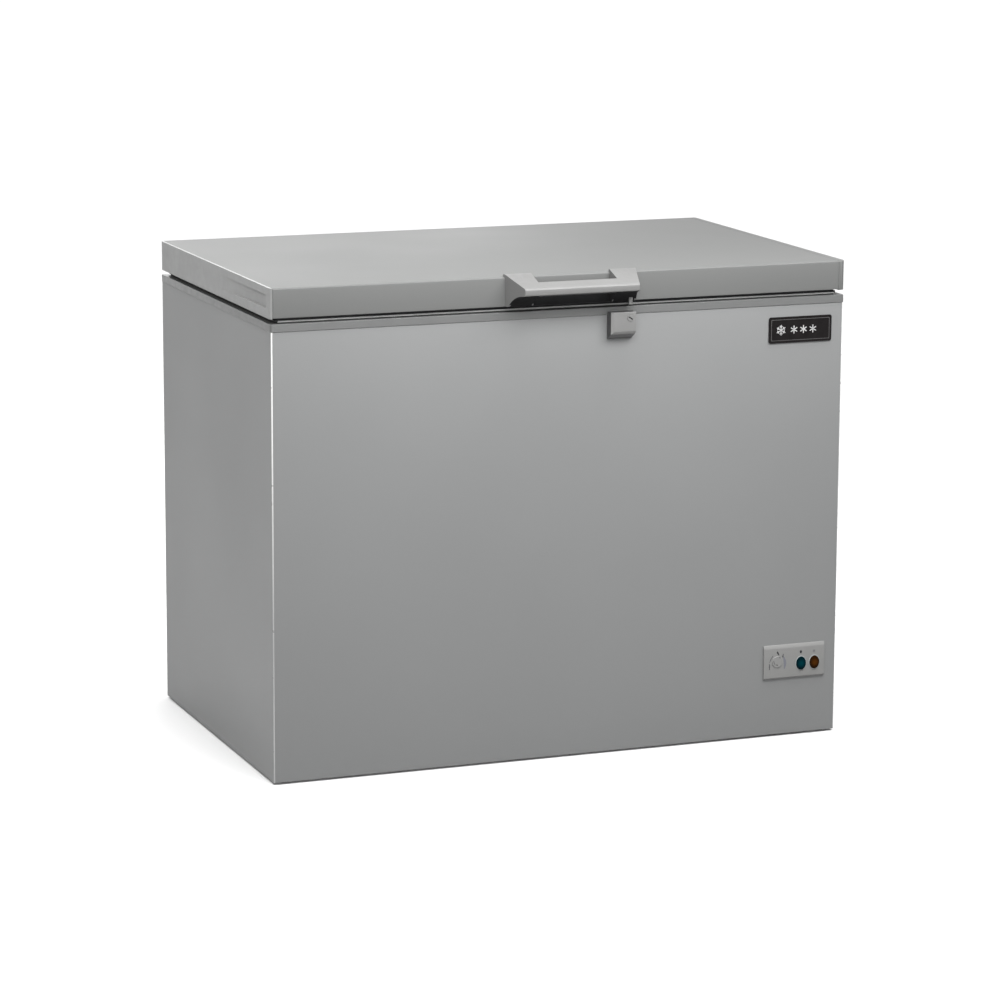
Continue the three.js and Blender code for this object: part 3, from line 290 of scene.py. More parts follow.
CAP_RADIUS = half_width("power_switch_cap")
LOOKS = {
    "grey_paint": painted_sheet("grey_paint", (0.197, 0.2, 0.2), 0.05),
    "lid_paint": painted_sheet("lid_paint", (0.115, 0.117, 0.115), 0.1, 0.52),
    "grey_plastic": moulded_plastic("grey_plastic", (0.205, 0.205, 0.201)),
    "trim_plastic": moulded_plastic(
        "trim_plastic", (0.094, 0.096, 0.095), 0.36, Specular_IOR_Level=0.75,
    ),
    "handle_plastic": moulded_plastic("handle_plastic", (0.13, 0.13, 0.128), 0.45, 0.03),
    "lock_metal": moulded_plastic("lock_metal", (0.147, 0.147, 0.145), 0.42, 0.02),
    # near-black tone of the lock case's rear part: painted shade
    "lock_painted_shade_base": moulded_plastic("lock_painted_shade_base", (0.045, 0.045, 0.046), 0.5, 0.03),
    # dull and bright tones of the front folds' painted highlight
    "fold_painted_highlight": fold_painted_highlight("fold_painted_highlight", (0.34, 0.34, 0.34), (0.85, 0.85, 0.84)),
    # lighter tone for the left end cap only: painted light
    "cap_plastic": moulded_plastic("cap_plastic", (0.26, 0.262, 0.26)),
    "white_liner": embossed_liner("white_liner", (0.39, 0.4, 0.4)),
    "white_plastic": moulded_plastic("white_plastic", (0.42, 0.43, 0.42), 0.4, 0.02),
    "foam": foamed("foam", (0.75, 0.62, 0.36)),
    "seal_rubber": soft_rubber("seal_rubber", (0.02, 0.02, 0.021)),
    # pale tone of the gasket's front strip: painted light
    "seal_painted_light": soft_rubber("seal_painted_light", (0.36, 0.365, 0.36), 0.4),
    "black_rubber": soft_rubber("black_rubber", (0.02, 0.02, 0.02)),
    # near-black for the lining under the handle: painted shade
    "under_handle_painted_shade": soft_rubber("under_handle_painted_shade", (0.012, 0.012, 0.0125), 0.75, 0.08),
    "black_gloss": gloss_enamel("black_gloss", (0.007, 0.006, 0.006)),
    "black_paint": gloss_enamel("black_paint", (0.015, 0.015, 0.016), 0.25),
    "dark_plastic": moulded_plastic("dark_plastic", (0.022, 0.023, 0.025), 0.55),
    "zinc_steel": galvanised("zinc_steel", (0.5, 0.51, 0.51)),
    "bare_steel": drawn_metal("bare_steel", (0.56, 0.57, 0.58), 0.3),
    "aluminium_tube": drawn_metal("aluminium_tube", (0.78, 0.79, 0.8), 0.35),
    "copper": drawn_metal("copper", (0.72, 0.36, 0.2), 0.3),
    "teal_lens": lens(
        "teal_lens", (0.0, 0.008, 0.012), (0.0005, 0.045, 0.058), centre_of("power_switch_cap"),
        CAP_RADIUS,
    ),
    "amber_lens": lens(
        "amber_lens", (0.014, 0.005, 0.001), (0.09, 0.028, 0.003), centre_of("fast_freeze_switch_cap"),
        CAP_RADIUS,
    ),
    "white_wire": moulded_plastic("white_wire", (0.5, 0.51, 0.51), 0.3, 0.05, Coat_Weight=0.3),
    "ink_black": printed("ink_black", (0.012, 0.012, 0.014)),
    "ink_grey": printed("ink_grey", (0.13, 0.13, 0.14)),
    "ink_dark": printed("ink_dark", (0.06, 0.06, 0.065)),
    "ink_blue": printed("ink_blue", (0.15, 0.155, 0.18)),
    "ink_white": printed("ink_white", (0.42, 0.42, 0.42)),
    "ink_border": printed("ink_border", (0.06, 0.058, 0.058)),
    "bezel_plastic": moulded_plastic("bezel_plastic", (0.28, 0.3, 0.3), 0.4, 0.02),
}


# ---------- mesh building ----------
FLAT = math.radians(0.3)  # faces that meet at less than this are one flat face
ALONG = {  # where an outline's point (a, b) goes when it is extruded along an axis at h
    "x": lambda a, b, h: (h, a, b),
    "y": lambda a, b, h: (a, h, b),
    "z": lambda a, b, h: (a, b, h),
}


def grouped(*bms):
    """Several meshes as one, each kept as its own closed shell."""
    whole = bmesh.new()
    for bm in bms:
        part = bpy.data.meshes.new("part")
        bm.to_mesh(part)
        bm.free()
        whole.from_mesh(part)
        bpy.data.meshes.remove(part)
    return whole


def smoothed(bm, fold):
    """Smooth faces, with a sharp edge wherever two of them meet at more than the fold angle."""
    for face in bm.faces:
        face.smooth = True
    for edge in bm.edges:
        edge.smooth = len(edge.link_faces) != 2 or edge.calc_face_angle(0) < math.radians(fold)


def softened(piece, width, segments, fold):
    bevel = piece.modifiers.new("edges", "BEVEL")
    bevel.width = width
    bevel.segments = segments
    bevel.limit_method = "ANGLE"
    bevel.angle_limit = math.radians(fold)
    bevel.harden_normals = True


def settle(piece, look, body, stands_for):
    """Gives a new piece its material, its body and the CAD nodes that it stands for."""
    bpy.context.scene.collection.objects.link(piece)
    piece.data.materials.append(LOOKS[look])
    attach(piece, body)
    if stands_for:
        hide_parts(*stands_for)
    return piece


def add_piece(name, bm, look, body, stands_for=(), edge=0.0, segments=2, fold=35):
    bmesh.ops.recalc_face_normals(bm, faces=bm.faces)
    smoothed(bm, fold)
    mesh = bpy.data.meshes.new(name)
    bm.to_mesh(mesh)
    bm.free()
    piece = bpy.data.objects.new(name, mesh)
    if edge:
        softened(piece, edge, segments, fold)
    return settle(piece, look, body, stands_for)


def refined(node, look=None, edge=0.3 * MM, segments=2, fold=35):
    """The CAD node's own shape as large clean faces with rounded edges."""
    bm = bmesh.new()
    bm.from_mesh(frame["nodes"][node].data)
    bmesh.ops.remove_doubles(bm, verts=bm.verts, dist=1e-6)
    bmesh.ops.dissolve_limit(bm, angle_limit=FLAT, verts=bm.verts, edges=bm.edges)
    slot = SLOT_OF[node]
    return add_piece(
        node + "_fine", bm, look or slot, BODY_OF[node], [node], edge, segments, fold,
    )


def frame_of(axis):
    """A turn that takes +Z to the axis."""
    return Z.rotation_difference(Vector(axis)).to_matrix().to_4x4()


def lathe(profile, place, axis=Z, segments=64, closed=False):
    """A turned solid: (radius, height) pairs from foot to top, both ends on the axis.

    A closed profile makes a ring instead.
    """
    bm = bmesh.new()
    rings = []
    for radius, height in profile:
        if radius == 0:
            rings.append([bm.verts.new((0, 0, height))])
            continue
        angles = [2 * math.pi * i / segments for i in range(segments)]
        rings.append([
            bm.verts.new((radius * math.cos(a), radius * math.sin(a), height)) for a in angles
        ])
    for low, high in zip(rings, rings[1:] + rings[:1] if closed else rings[1:]):
        for i in range(segments):
            j = (i + 1) % segments
            corners = [low[i % len(low)], low[j % len(low)], high[j % len(high)], high[i % len(high)]]
            bm.faces.new(list(dict.fromkeys(corners)))
    bm.transform(Matrix.Translation(place) @ frame_of(axis))
    return bm


def loop_round(bm, loops):
    """Joins each loop of points to the next, and the last to the first."""
    for low, high in zip(loops, loops[1:] + loops[:1]):
        for i in range(len(low)):
            j = (i + 1) % len(low)
            bm.faces.new((low[i], low[j], high[j], high[i]))
    bmesh.ops.recalc_face_normals(bm, faces=bm.faces)


def prism(outline, axis, start, end):
    """An outline extruded along an axis: its points are (x, y), (y, z) or (x, z)."""
    bm = bmesh.new()
    ends = [[bm.verts.new(ALONG[axis](a, b, h)) for a, b in outline] for h in (start, end)]
    for side in ends:
        bm.faces.new(side)
    for i in range(len(outline)):
        j = (i + 1) % len(outline)
        bm.faces.new((ends[0][i], ends[0][j], ends[1][j], ends[1][i]))
    bmesh.ops.recalc_face_normals(bm, faces=bm.faces)
    return bm


def rounded_rectangle(x0, x1, y0, y1, radius):
    """Outline of a rectangle with round corners, anticlockwise."""
    points = []
    steps = 8
    corners = (
        (x1 - radius, y0 + radius), (x1 - radius, y1 - radius), (x0 + radius, y1 - radius),
        (x0 + radius, y0 + radius),
    )
    for quarter, (cx, cy) in enumerate(corners):
        for i in range(steps + 1):
            angle = math.pi / 2 * (quarter - 1 + i / steps)
            points.append((cx + radius * math.cos(angle), cy + radius * math.sin(angle)))
    return points


def swept_ring(x0, x1, y0, y1, radius, section):
    """A closed section carried round a rounded rectangle: its points are (distance in, z)."""
    bm = bmesh.new()
    rings = []
    for inset, z in section:
        corner = max(radius - inset, 0.5 * MM)
        row = rounded_rectangle(x0 + inset, x1 - inset, y0 + inset, y1 - inset, corner)
        rings.append([bm.verts.new((px, py, z)) for px, py in row])
    loop_round(bm, rings)
    return bm


def banded(outer, inner, axis, start, end):
    """A flat ring between two outlines of the same number of points, extruded along an axis."""
    bm = bmesh.new()
    loops = [
        [bm.verts.new(ALONG[axis](a, b, h)) for a, b in outline]
        for outline, h in ((outer, start), (outer, end), (inner, end), (inner, start))
    ]
    loop_round(bm, loops)
    return bm


def carved(bm, *cutters):
    """The mesh with the cutters taken out of it."""
    made = []
    for source in (bm, *cutters):
        mesh = bpy.data.meshes.new("solid")
        source.to_mesh(mesh)
        source.free()
        made.append(bpy.data.objects.new("solid", mesh))
        bpy.context.scene.collection.objects.link(made[-1])
    body = made[0]
    for cutter in made[1:]:
        cut = body.modifiers.new("cut", "BOOLEAN")
        cut.operation = "DIFFERENCE"
        cut.solver = "EXACT"
        cut.object = cutter
    bpy.context.view_layer.update()
    result = body.evaluated_get(bpy.context.evaluated_depsgraph_get()).to_mesh()
    whole = bmesh.new()
    whole.from_mesh(result)
    body.to_mesh_clear()
    for solid in made:
        mesh = solid.data
        bpy.data.objects.remove(solid)
        bpy.data.meshes.remove(mesh)
    bmesh.ops.dissolve_limit(whole, angle_limit=FLAT, verts=whole.verts, edges=whole.edges)
    return whole


def block(low, high):
    """A box from its lowest corner to its highest."""
    x0, y0, z0 = low
    x1, y1, z1 = high
    return prism([(x0, y0), (x1, y0), (x1, y1), (x0, y1)], "z", z0, z1)


def wires(name, runs, radius, look, body, stands_for=(), closed=False, sides=3):
    """Round wires through lists of points, as one curve."""
    curve = bpy.data.curves.new(name, "CURVE")
    curve.dimensions = "3D"
    curve.bevel_depth = radius
    curve.bevel_resolution = sides
    curve.use_fill_caps = True
    for run in runs:
        spline = curve.splines.new("POLY")
        spline.points.add(len(run) - 1)
        for point, place in zip(spline.points, run):
            point.co = (*place, 1)
        spline.use_cyclic_u = closed
        spline.use_smooth = True
    return settle(bpy.data.objects.new(name, curve), look, body, stands_for)


def bent(corners, radius):
    """A route of straight runs whose corners are turned with the radius."""
    steps = 5
    places = [Vector(corner) for corner in corners]
    points = [places[0]]
    for before, corner, after in zip(places, places[1:], places[2:]):
        start = corner + (before - corner).normalized() * radius
        end = corner + (after - corner).normalized() * radius
        for i in range(steps + 1):
            t = i / steps
            points.append(start.lerp(corner, t).lerp(corner.lerp(end, t), t))
    points.append(places[-1])
    return points


# ---------- folded sheets, mouldings and small parts that keep their CAD shape ----------
def carried_over():
    """Pieces hidden in the walls or the compressor bay keep their CAD mesh."""
    for node in (
        "foam_body", "lid_foam", "evaporator_coil", "condenser_coil", "thermostat_body",
        "power_switch_body", "fast_freeze_switch_body",
    ):
        shown = frame["nodes"][node].data.materials
        shown.clear()
        shown.append(LOOKS[SLOT_OF[node]])


def refined_nodes():
    for node in (
        "front_panel", "side_panel_left", "side_panel_right", "back_panel", "compressor_cover",
    ):
        refined(node, "grey_paint", 0.35 * MM)
    refined("base_pan")
    refined("compressor_tray")
    refined("side_vent_grille", edge=0.6 * MM, segments=3)
    refined("inner_tub")
    refined("top_frame", "trim_plastic", 0.6 * MM, 3)
    refined("lid_skin", "lid_paint", 0.5 * MM, 3)
    # The two end caps are one mirrored moulding: the left takes a lighter plastic and the right the
    # darker lid paint, painted light on the left and painted shade on the right.
    refined("lid_end_cap_left", "cap_plastic", 0.6 * MM, 3)
    refined("lid_end_cap_right", "lid_paint", 0.6 * MM, 3)
    for hand in ("left", "right"):
        refined("hinge_base_" + hand, edge=0.4 * MM)
        refined("hinge_arm_" + hand, edge=0.4 * MM)
        refined("hinge_pin_" + hand)
    refined("lid_liner", edge=0.4 * MM)
    refined("control_panel", edge=0.5 * MM, segments=3)
    refined("lock_cam")
    refined("lock_striker", "lock_metal", 0.6 * MM)
    refined("handle", edge=1.1 * MM, segments=3)
    refined("cable_gland", edge=0.4 * MM)
    refined("compressor", edge=0.5 * MM)
    refined("relay_cover", edge=1.0 * MM, segments=3)
    refined("filter_drier", edge=0.4 * MM)
    refined("drain_tube")
    for where in ("front", "back"):
        for hand in ("left", "right"):
            refined(f"grommet_{where}_{hand}", edge=0.6 * MM)
    for pipe in ("suction_pipe", "discharge_pipe", "wiring_loom"):
        refined(pipe, edge=0, fold=75)


# ---------- folds ----------
def front_folds():
    """Strip round each vertical fold of the front sheet, over its seam with the side, coloured with a
    painted highlight.
    """
    low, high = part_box("front_panel")
    radius, proud, reach = 1.9 * MM, 0.1 * MM, 2.4 * MM
    hollow = 0.9  # the strip's inner radius as a share of its outer one
    steps, cuts = 10, 24
    for hand, side in (("left", -1), ("right", 1)):
        out = (high.x if side > 0 else -low.x) + proud
        front = low.y - proud
        corner_x, corner_y = out - radius, front + radius
        outer = [(out, front + reach)]
        for i in range(steps + 1):
            angle = math.pi / 2 * i / steps
            outer.append((corner_x + radius * math.cos(angle), corner_y - radius * math.sin(angle)))
        inner = [(out - (1 - hollow) * radius, front + reach)]
        inner += [
            (corner_x + (px - corner_x) * hollow, corner_y + (py - corner_y) * hollow)
            for px, py in outer[1:]
        ]
        outline = [(side * px, py) for px, py in outer + inner[::-1]]
        strip = prism(outline, "z", low.z, high.z)
        tall = [edge for edge in strip.edges if edge.calc_length() > reach]
        bmesh.ops.subdivide_edges(strip, edges=tall, cuts=cuts, use_grid_fill=True)
        add_piece("front_fold_" + hand, strip, "fold_painted_highlight", "cabinet")


# ---------- round pieces ----------
def feet():
    for where in ("front", "back"):
        for hand in ("left", "right"):
            node = f"foot_{where}_{hand}"
            low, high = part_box(node)
            radius = half_width(node)
            height = high.z - low.z
            centre = centre_of(node)
            profile = [
                (0, 0), (radius - 2 * MM, 0), (radius - 0.6 * MM, 0.5 * MM), (radius, 1.6 * MM),
                (radius, height), (0, height),
            ]
            foot = lathe(profile, Vector((centre.x, centre.y, low.z)))
            add_piece(node + "_fine", foot, SLOT_OF[node], "cabinet", [node])


# ---------- handle ----------
def handle_shade_lining():
    """Near-black lining under the handle, a dark sheet that paints the shade there: it closes the
    hollow handle from below and backs the finger gap.
    """
    skin_low, skin_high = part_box("lid_skin")
    face, top, bottom = skin_low.y, skin_high.z, skin_low.z
    opening = 75 * MM  # half the finger gap's width
    root = half_width("handle") - 1.8 * MM  # half the lining's width at the lid's face
    lean = 0.2875  # how far each cheek leans inwards for its reach
    ceiling, sheet = 19 * MM, 1.2 * MM

    def profile(points):
        """An outline in (y, z) from (reach from the lid's face, height from the lid's top) in mm."""
        return [(face - reach * MM, top + height * MM) for reach, height in points]

    nose, pull, heel = (53.4, -28.7), (24, -30.6), (8.8, -52.3)
    steps = 12
    underside = []
    for i in range(steps + 1):
        t = i / steps
        shares = (1 - t) ** 2, 2 * t * (1 - t), t ** 2
        underside.append([
            shares[0] * nose[k] + shares[1] * pull[k] + shares[2] * heel[k] for k in (0, 1)
        ])
    cheek = profile([(0.5, -8), (30, -13), (50, -18.6), (54.8, -26), *underside, (0.5, heel[1])])
    pieces = []
    for side in (-1, 1):
        plug = prism(cheek, "x", side * (opening - 0.4 * MM), side * root)
        for vert in plug.verts:
            if abs(vert.co.x) > opening:
                vert.co.x = side * (root - lean * (face - vert.co.y))
        inside = carved(plug, block((-1, -1, top - ceiling), (1, 1, 2)))
        bmesh.ops.recalc_face_normals(inside, faces=inside.faces)
        pieces.append(inside)
    bar = profile([(33.2, -20), (50, -20), (54.6, -26), nose, (43, -29.2), (33.2, -31.2)])
    pieces.append(prism(bar, "x", -opening, opening))
    pieces.append(block((-opening, face - sheet, bottom), (opening, face, top - 18 * MM)))
    lining = grouped(*pieces)
    lining.transform(Matrix.Translation((centre_of("handle").x, 0, 0)))
    add_piece("handle_shade_lining", lining, "under_handle_painted_shade", BODY_OF["handle"])


# ---------- seal ----------
def gasket():
    """Magnetic seal: a foot on the frame, a rounded bead and a neck up to the lid, with a pale strip
    along the front only that paints the light caught by the bead.
    """
    low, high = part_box("lid_gasket")
    foot, top = low.z, high.z
    bead_low, bead_high = foot + 2.1 * MM, foot + 6.2 * MM
    inset = [
        (3.0, foot), (15.0, foot), (15.0, bead_low), (17.4, bead_low), (18.0, bead_low + 0.7 * MM),
        (18.0, bead_high - 0.7 * MM), (17.4, bead_high), (15.0, bead_high), (15.0, top), (3.5, top),
        (3.5, bead_high), (0.7, bead_high), (0.0, bead_high - 0.7 * MM), (0.0, bead_low + 0.7 * MM),
        (0.7, bead_low), (3.0, bead_low),
    ]
    section = [(distance * MM, z) for distance, z in inset]
    ring = swept_ring(low.x, high.x, low.y, high.y, 8 * MM, section)
    add_piece(
        "gasket_profile", ring, "seal_rubber", "lid", ["lid_gasket"], 0.15 * MM,
    )
    # pale strip along the front only: painted light on the bead
    lip_low, lip_high = foot + 1.3 * MM, foot + 4.7 * MM
    middle = (lip_low + lip_high) / 2
    lip = [
        (low.y + 3.4 * MM, lip_low), (low.y - 0.2 * MM, lip_low + 0.3 * MM), (low.y - 0.5 * MM, middle),
        (low.y - 0.2 * MM, lip_high - 0.4 * MM), (low.y + 0.9 * MM, lip_high),
    ]
    corner = 6 * MM
    add_piece(
        "gasket_front_lip", prism(lip, "x", low.x + corner, high.x - corner), "seal_painted_light", "lid",
        (), 0.2 * MM,
    )


# ---------- control panel ----------
PANEL_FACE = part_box("control_panel")[0].y
INK = 0.12 * MM  # how far a print stands off the surface
TO_FRONT = -Y


def thermostat_dial():
    """Low disc turned with a fingertip: a notch near its rim and a pointer line opposite."""
    low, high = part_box("thermostat_dial")
    radius = half_width("thermostat_dial")
    face = PANEL_FACE - low.y
    rear = PANEL_FACE - high.y
    centre = centre_of("thermostat_dial")
    place = Vector((centre.x, PANEL_FACE, centre.z))
    shaft, back, flange = 3 * MM, -4.5 * MM, radius + 0.6 * MM
    profile = [
        (0, rear), (shaft, rear), (shaft, back), (radius, back), (radius, 0.05 * MM),
        (flange, 0.08 * MM), (flange, 0.3 * MM), (radius, 0.35 * MM),
        (radius, face - 0.4 * MM), (radius - 0.35 * MM, face), (0, face),
    ]
    notch = bmesh.new()
    bmesh.ops.create_icosphere(notch, subdivisions=3, radius=1)
    notch.transform(
        Matrix.Translation(place + Vector((-0.6 * MM, -face, -6.2 * MM)))
        @ Matrix.Rotation(0.54, 4, Y)
        @ Matrix.Diagonal((3.0 * MM, 1.5 * MM, 1.1 * MM, 1))
    )
    disc = carved(lathe(profile, place, TO_FRONT, 96), notch)
    add_piece("thermostat_dial_fine", disc, "grey_plastic", "dial", ["thermostat_dial"])
    pointer = stroke([(4.2, 9.4, 0.9), (4.8, 7.9, 0.8), (5.2, 6.6, 0.5)], PANEL_FACE - face)
    add_piece("dial_pointer", pointer, "ink_dark", "dial")
    line = stroke([(-8.1, 2.6, 0.4), (-6.4, -1.4, 0.5), (-5.0, -5.0, 0.4)], PANEL_FACE - face)
    add_piece("dial_line", line, "ink_dark", "dial")


def stroke(points, level):
    """A printed line round the dial's centre: (across, up, half width) in mm at each point."""
    centre = centre_of("thermostat_dial")
    steps = 5
    dense = []
    for (x0, z0, w0), (x1, z1, w1) in zip(points, points[1:]):
        for i in range(steps):
            t = i / steps
            dense.append((x0 + (x1 - x0) * t, z0 + (z1 - z0) * t, w0 + (w1 - w0) * t))
    dense.append(points[-1])
    left, right = [], []
    for i, (x, z, half) in enumerate(dense):
        before, after = dense[max(i - 1, 0)], dense[min(i + 1, len(dense) - 1)]
        run, rise = after[0] - before[0], after[1] - before[1]
        length = math.hypot(run, rise)
        off_x, off_z = -rise / length * half, run / length * half
        left.append((centre.x + (x + off_x) * MM, centre.z + (z + off_z) * MM))
        right.append((centre.x + (x - off_x) * MM, centre.z + (z - off_z) * MM))
    return prism(left + right[::-1], "y", level - INK, level + 0.2 * MM)


def panel_prints():
    """Scale round the dial, from thin strokes to a thick cold crescent, and the two icons."""
    marks = {
        "scale_warm_low": (
            "ink_dark", [(-15.8, -3.0, 0.6), (-15.6, -8.4, 1.0), (-15.2, -14.2, 0.7)],
        ),
        "scale_warm_high": (
            "ink_dark", [(-15.4, -0.6, 0.4), (-12.6, 6.6, 0.7), (-8.4, 12.2, 0.4)],
        ),
        "scale_start": (
            "ink_black", [(-0.6, 19.2, 0.9), (0.8, 17.0, 1.5), (2.4, 14.6, 1.2), (3.6, 11.8, 0.5)],
        ),
        "scale_step": (
            "ink_black", [(12.6, 14.4, 0.4), (11.5, 11.0, 0.9), (11.6, 7.6, 1.1)],
        ),
        "scale_cold": (
            "ink_blue",
            [
                (13.0, 9.0, 0.6), (14.4, 5.0, 1.7), (15.6, 0.6, 2.6), (16.2, -3.8, 2.7),
                (15.9, -9.0, 2.0), (14.8, -14.4, 0.9),
            ],
        ),
    }
    for name, (look, points) in marks.items():
        add_piece(name, stroke(points, PANEL_FACE), look, "cabinet")
    above = 21.5 * MM
    power = centre_of("power_switch_cap")
    spot = Vector((power.x - 0.5 * MM, PANEL_FACE, power.z + above))
    radius, buried = 2.1 * MM, -0.3 * MM
    profile = [(0, buried), (radius, buried), (radius, INK), (0, INK)]
    dot = lathe(profile, spot, TO_FRONT, 32)
    dot.transform(raised(spot, 1.4))
    add_piece("power_dot", dot, "ink_black", "cabinet")
    freeze = centre_of("fast_freeze_switch_cap")
    spot = Vector((freeze.x - 1 * MM, PANEL_FACE, freeze.z + above))
    icon = snowflake(spot, 2.8 * MM, 0.9 * MM, INK)
    add_piece("fast_freeze_icon", icon, "ink_grey", "cabinet")


def raised(place, ratio):
    """Stretches a piece upwards and downwards about a place."""
    return Matrix.Translation(place) @ Matrix.Diagonal((1, 1, ratio, 1)) @ Matrix.Translation(-place)


def snowflake(centre, reach, width, height, branches=False):
    """Six arms round a centre on the front, each with a pair of side shoots if it has branches."""
    parts = []
    depth = 0.3 * MM
    arms = 6
    fork, shoot_reach, shoot_lean = 0.55 * reach, 0.34 * reach, math.radians(55)
    for arm in range(arms):
        turn = Matrix.Rotation(math.radians(360 / arms * arm), 4, Y)
        bars = [(block((-width / 2, -height, 0), (width / 2, depth, reach)), Matrix())]
        if branches:
            for lean in (-shoot_lean, shoot_lean):
                shoot = block((-width / 2, -height, 0), (width / 2, depth, shoot_reach))
                at = Matrix.Translation((0, 0, fork))
                bars.append((shoot, at @ Matrix.Rotation(lean, 4, Y)))
        for bar, place in bars:
            bar.transform(Matrix.Translation(centre) @ turn @ place)
            parts.append(bar)
    return grouped(*parts)


def push_button(node, look, body):
    """Low oval cap on its stem, with a thin ring round it on the panel."""
    low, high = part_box(node)
    radius = half_width(node)
    proud = PANEL_FACE - low.y
    rear = PANEL_FACE - high.y
    centre = centre_of(node)
    place = Vector((centre.x, PANEL_FACE, centre.z))
    oval = raised(place, (high.z - low.z) / (high.x - low.x))
    stem, back = 3.2 * MM, -2 * MM
    profile = [
        (0, rear), (stem, rear), (stem, back), (radius, back), (radius, proud - 1.2 * MM),
        (radius - 0.3 * MM, proud - 0.7 * MM), (radius - 1.0 * MM, proud - 0.35 * MM),
        (radius - 3.0 * MM, proud - 0.1 * MM), (radius - 6.0 * MM, proud), (0, proud),
    ]
    cap = lathe(profile, place, TO_FRONT, 96)
    cap.transform(oval)
    add_piece(node + "_fine", cap, look, body, [node])
    near, far, buried = radius + 0.25 * MM, radius + 1.5 * MM, -0.3 * MM
    ring = [
        (near, buried), (near, 0.3 * MM), (radius + 0.6 * MM, 0.55 * MM),
        (radius + 1.0 * MM, 0.45 * MM), (far, 0.1 * MM), (far, buried),
    ]
    bezel = lathe(ring, place, TO_FRONT, 96, closed=True)
    bezel.transform(oval)
    add_piece(
        node.replace("_cap", "_bezel"), bezel, "bezel_plastic", "cabinet",
    )


# ---------- badge plate ----------
def badge():
    """Gloss black plate with a border line and a generic frost mark: a snowflake and three stars."""
    low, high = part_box("badge_plate")
    body, slot = BODY_OF["badge_plate"], SLOT_OF["badge_plate"]
    plate = prism(rounded_rectangle(low.x, high.x, low.z, high.z, 4 * MM), "y", low.y, high.y)
    add_piece("badge_plate_fine", plate, "black_gloss", body, ["badge_plate"], 0.6 * MM, 3)
    rim, line = 4.5 * MM, 0.9 * MM
    outlines = [
        rounded_rectangle(low.x + d, high.x - d, low.z + d, high.z - d, 1.5 * MM)
        for d in (rim, rim + line)
    ]
    border = banded(*outlines, "y", low.y - INK, low.y + 0.3 * MM)
    add_piece("badge_border", border, "ink_border", body)
    middle = (low.z + high.z) / 2
    left = low.x + 24 * MM
    thick = 0.4 * MM
    marks = [snowflake(Vector((left, low.y, middle)), 9.5 * MM, 1.5 * MM, thick, True)]
    for gap in (26, 45, 64):
        star = Vector((left + gap * MM, low.y, middle))
        marks.append(snowflake(star, 7.2 * MM, 1.7 * MM, thick))
    add_piece("badge_mark", grouped(*marks), "ink_white", body, (), 0.12 * MM, 1)


# ---------- lock ----------
def lock_case():
    """Lock case cut in two: a near-black rear part whose dark tone paints the shade on its side and
    underside, and a lighter cover plate on its front.
    """
    low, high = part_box("lock_case")
    split, overlap, beyond = low.y + 3.2 * MM, 0.05 * MM, 5 * MM
    whole = frame["nodes"]["lock_case"].data
    for name, look, cut in (
        ("lock_painted_shade_base", "lock_painted_shade_base", block((-1, low.y - beyond, 0), (1, split, 2))),
        ("lock_cover", "lock_metal", block((-1, split + overlap, 0), (1, high.y + beyond, 2))),
    ):
        part = bmesh.new()
        part.from_mesh(whole)
        replaced = ["lock_case"] if name == "lock_painted_shade_base" else ()
        add_piece(
            name, carved(part, cut), look, "cabinet", replaced, 0.5 * MM, 3,
        )


def key_cylinder():
    """Lock cylinder with a key slot in its face and a thin tail for the cam."""
    low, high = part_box("lock_cylinder")
    radius = half_width("lock_cylinder")
    centre = centre_of("lock_cylinder")
    place = Vector((centre.x, low.y, centre.z))
    rear = low.y - high.y
    tail, shoulder = 3 * MM, rear + 2.5 * MM
    profile = [
        (0, rear), (tail, rear), (tail, shoulder), (radius, shoulder),
        (radius, -0.5 * MM), (radius - 0.3 * MM, 0), (0, 0),
    ]
    slot = block((-1.2 * MM, -1 * MM, -4.6 * MM), (1.2 * MM, 5 * MM, 4.6 * MM))
    slot.transform(Matrix.Translation(place) @ Matrix.Rotation(math.radians(122), 4, Y))
    plug = carved(lathe(profile, place, TO_FRONT), slot)
    add_piece(
        "lock_cylinder_fine", plug, "lock_metal", "lock_barrel",
        ["lock_cylinder"],
    )


# ---------- basket ----------
def basket():
    """Welded wire basket: U-shaped wires both ways, level hoops and a thick rim."""
    low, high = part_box("basket")
    thin, thick = 1.3 * MM, 2.3 * MM
    corner, bend = 14 * MM, 10 * MM
    across, lengthwise = 19, 9
    inset = thick + thin
    x0, x1, y0, y1 = low.x + inset, high.x - inset, low.y + inset, high.y - inset
    floor, rim = low.z + thin, high.z - thick
    lift = floor + 2 * thin
    runs = []
    for i in range(across):
        y = y0 + corner + (y1 - y0 - 2 * corner) * i / (across - 1)
        runs.append(bent([(x0, y, rim), (x0, y, floor), (x1, y, floor), (x1, y, rim)], bend))
    for i in range(lengthwise):
        x = x0 + corner + (x1 - x0 - 2 * corner) * i / (lengthwise - 1)
        runs.append(bent([(x, y0, rim), (x, y0, lift), (x, y1, lift), (x, y1, rim)], bend))
    body, slot = BODY_OF["basket"], SLOT_OF["basket"]
    wires("basket_wires", runs, thin, "white_wire", body, ["basket"])
    grow = 2 * thin
    outline = rounded_rectangle(x0 - grow, x1 + grow, y0 - grow, y1 + grow, corner)
    hoops = []
    for share in (0.3, 0.62):
        z = floor + (rim - floor) * share
        hoops.append([(px, py, z) for px, py in outline])
    wires("basket_hoops", hoops, thin, "white_wire", body, closed=True)
    outline = rounded_rectangle(
        low.x + thick, high.x - thick, low.y + thick, high.y - thick, corner,
    )
    rim_run = [(px, py, rim) for px, py in outline]
    wires("basket_rim", [rim_run], thick, "white_wire", body, closed=True, sides=5)


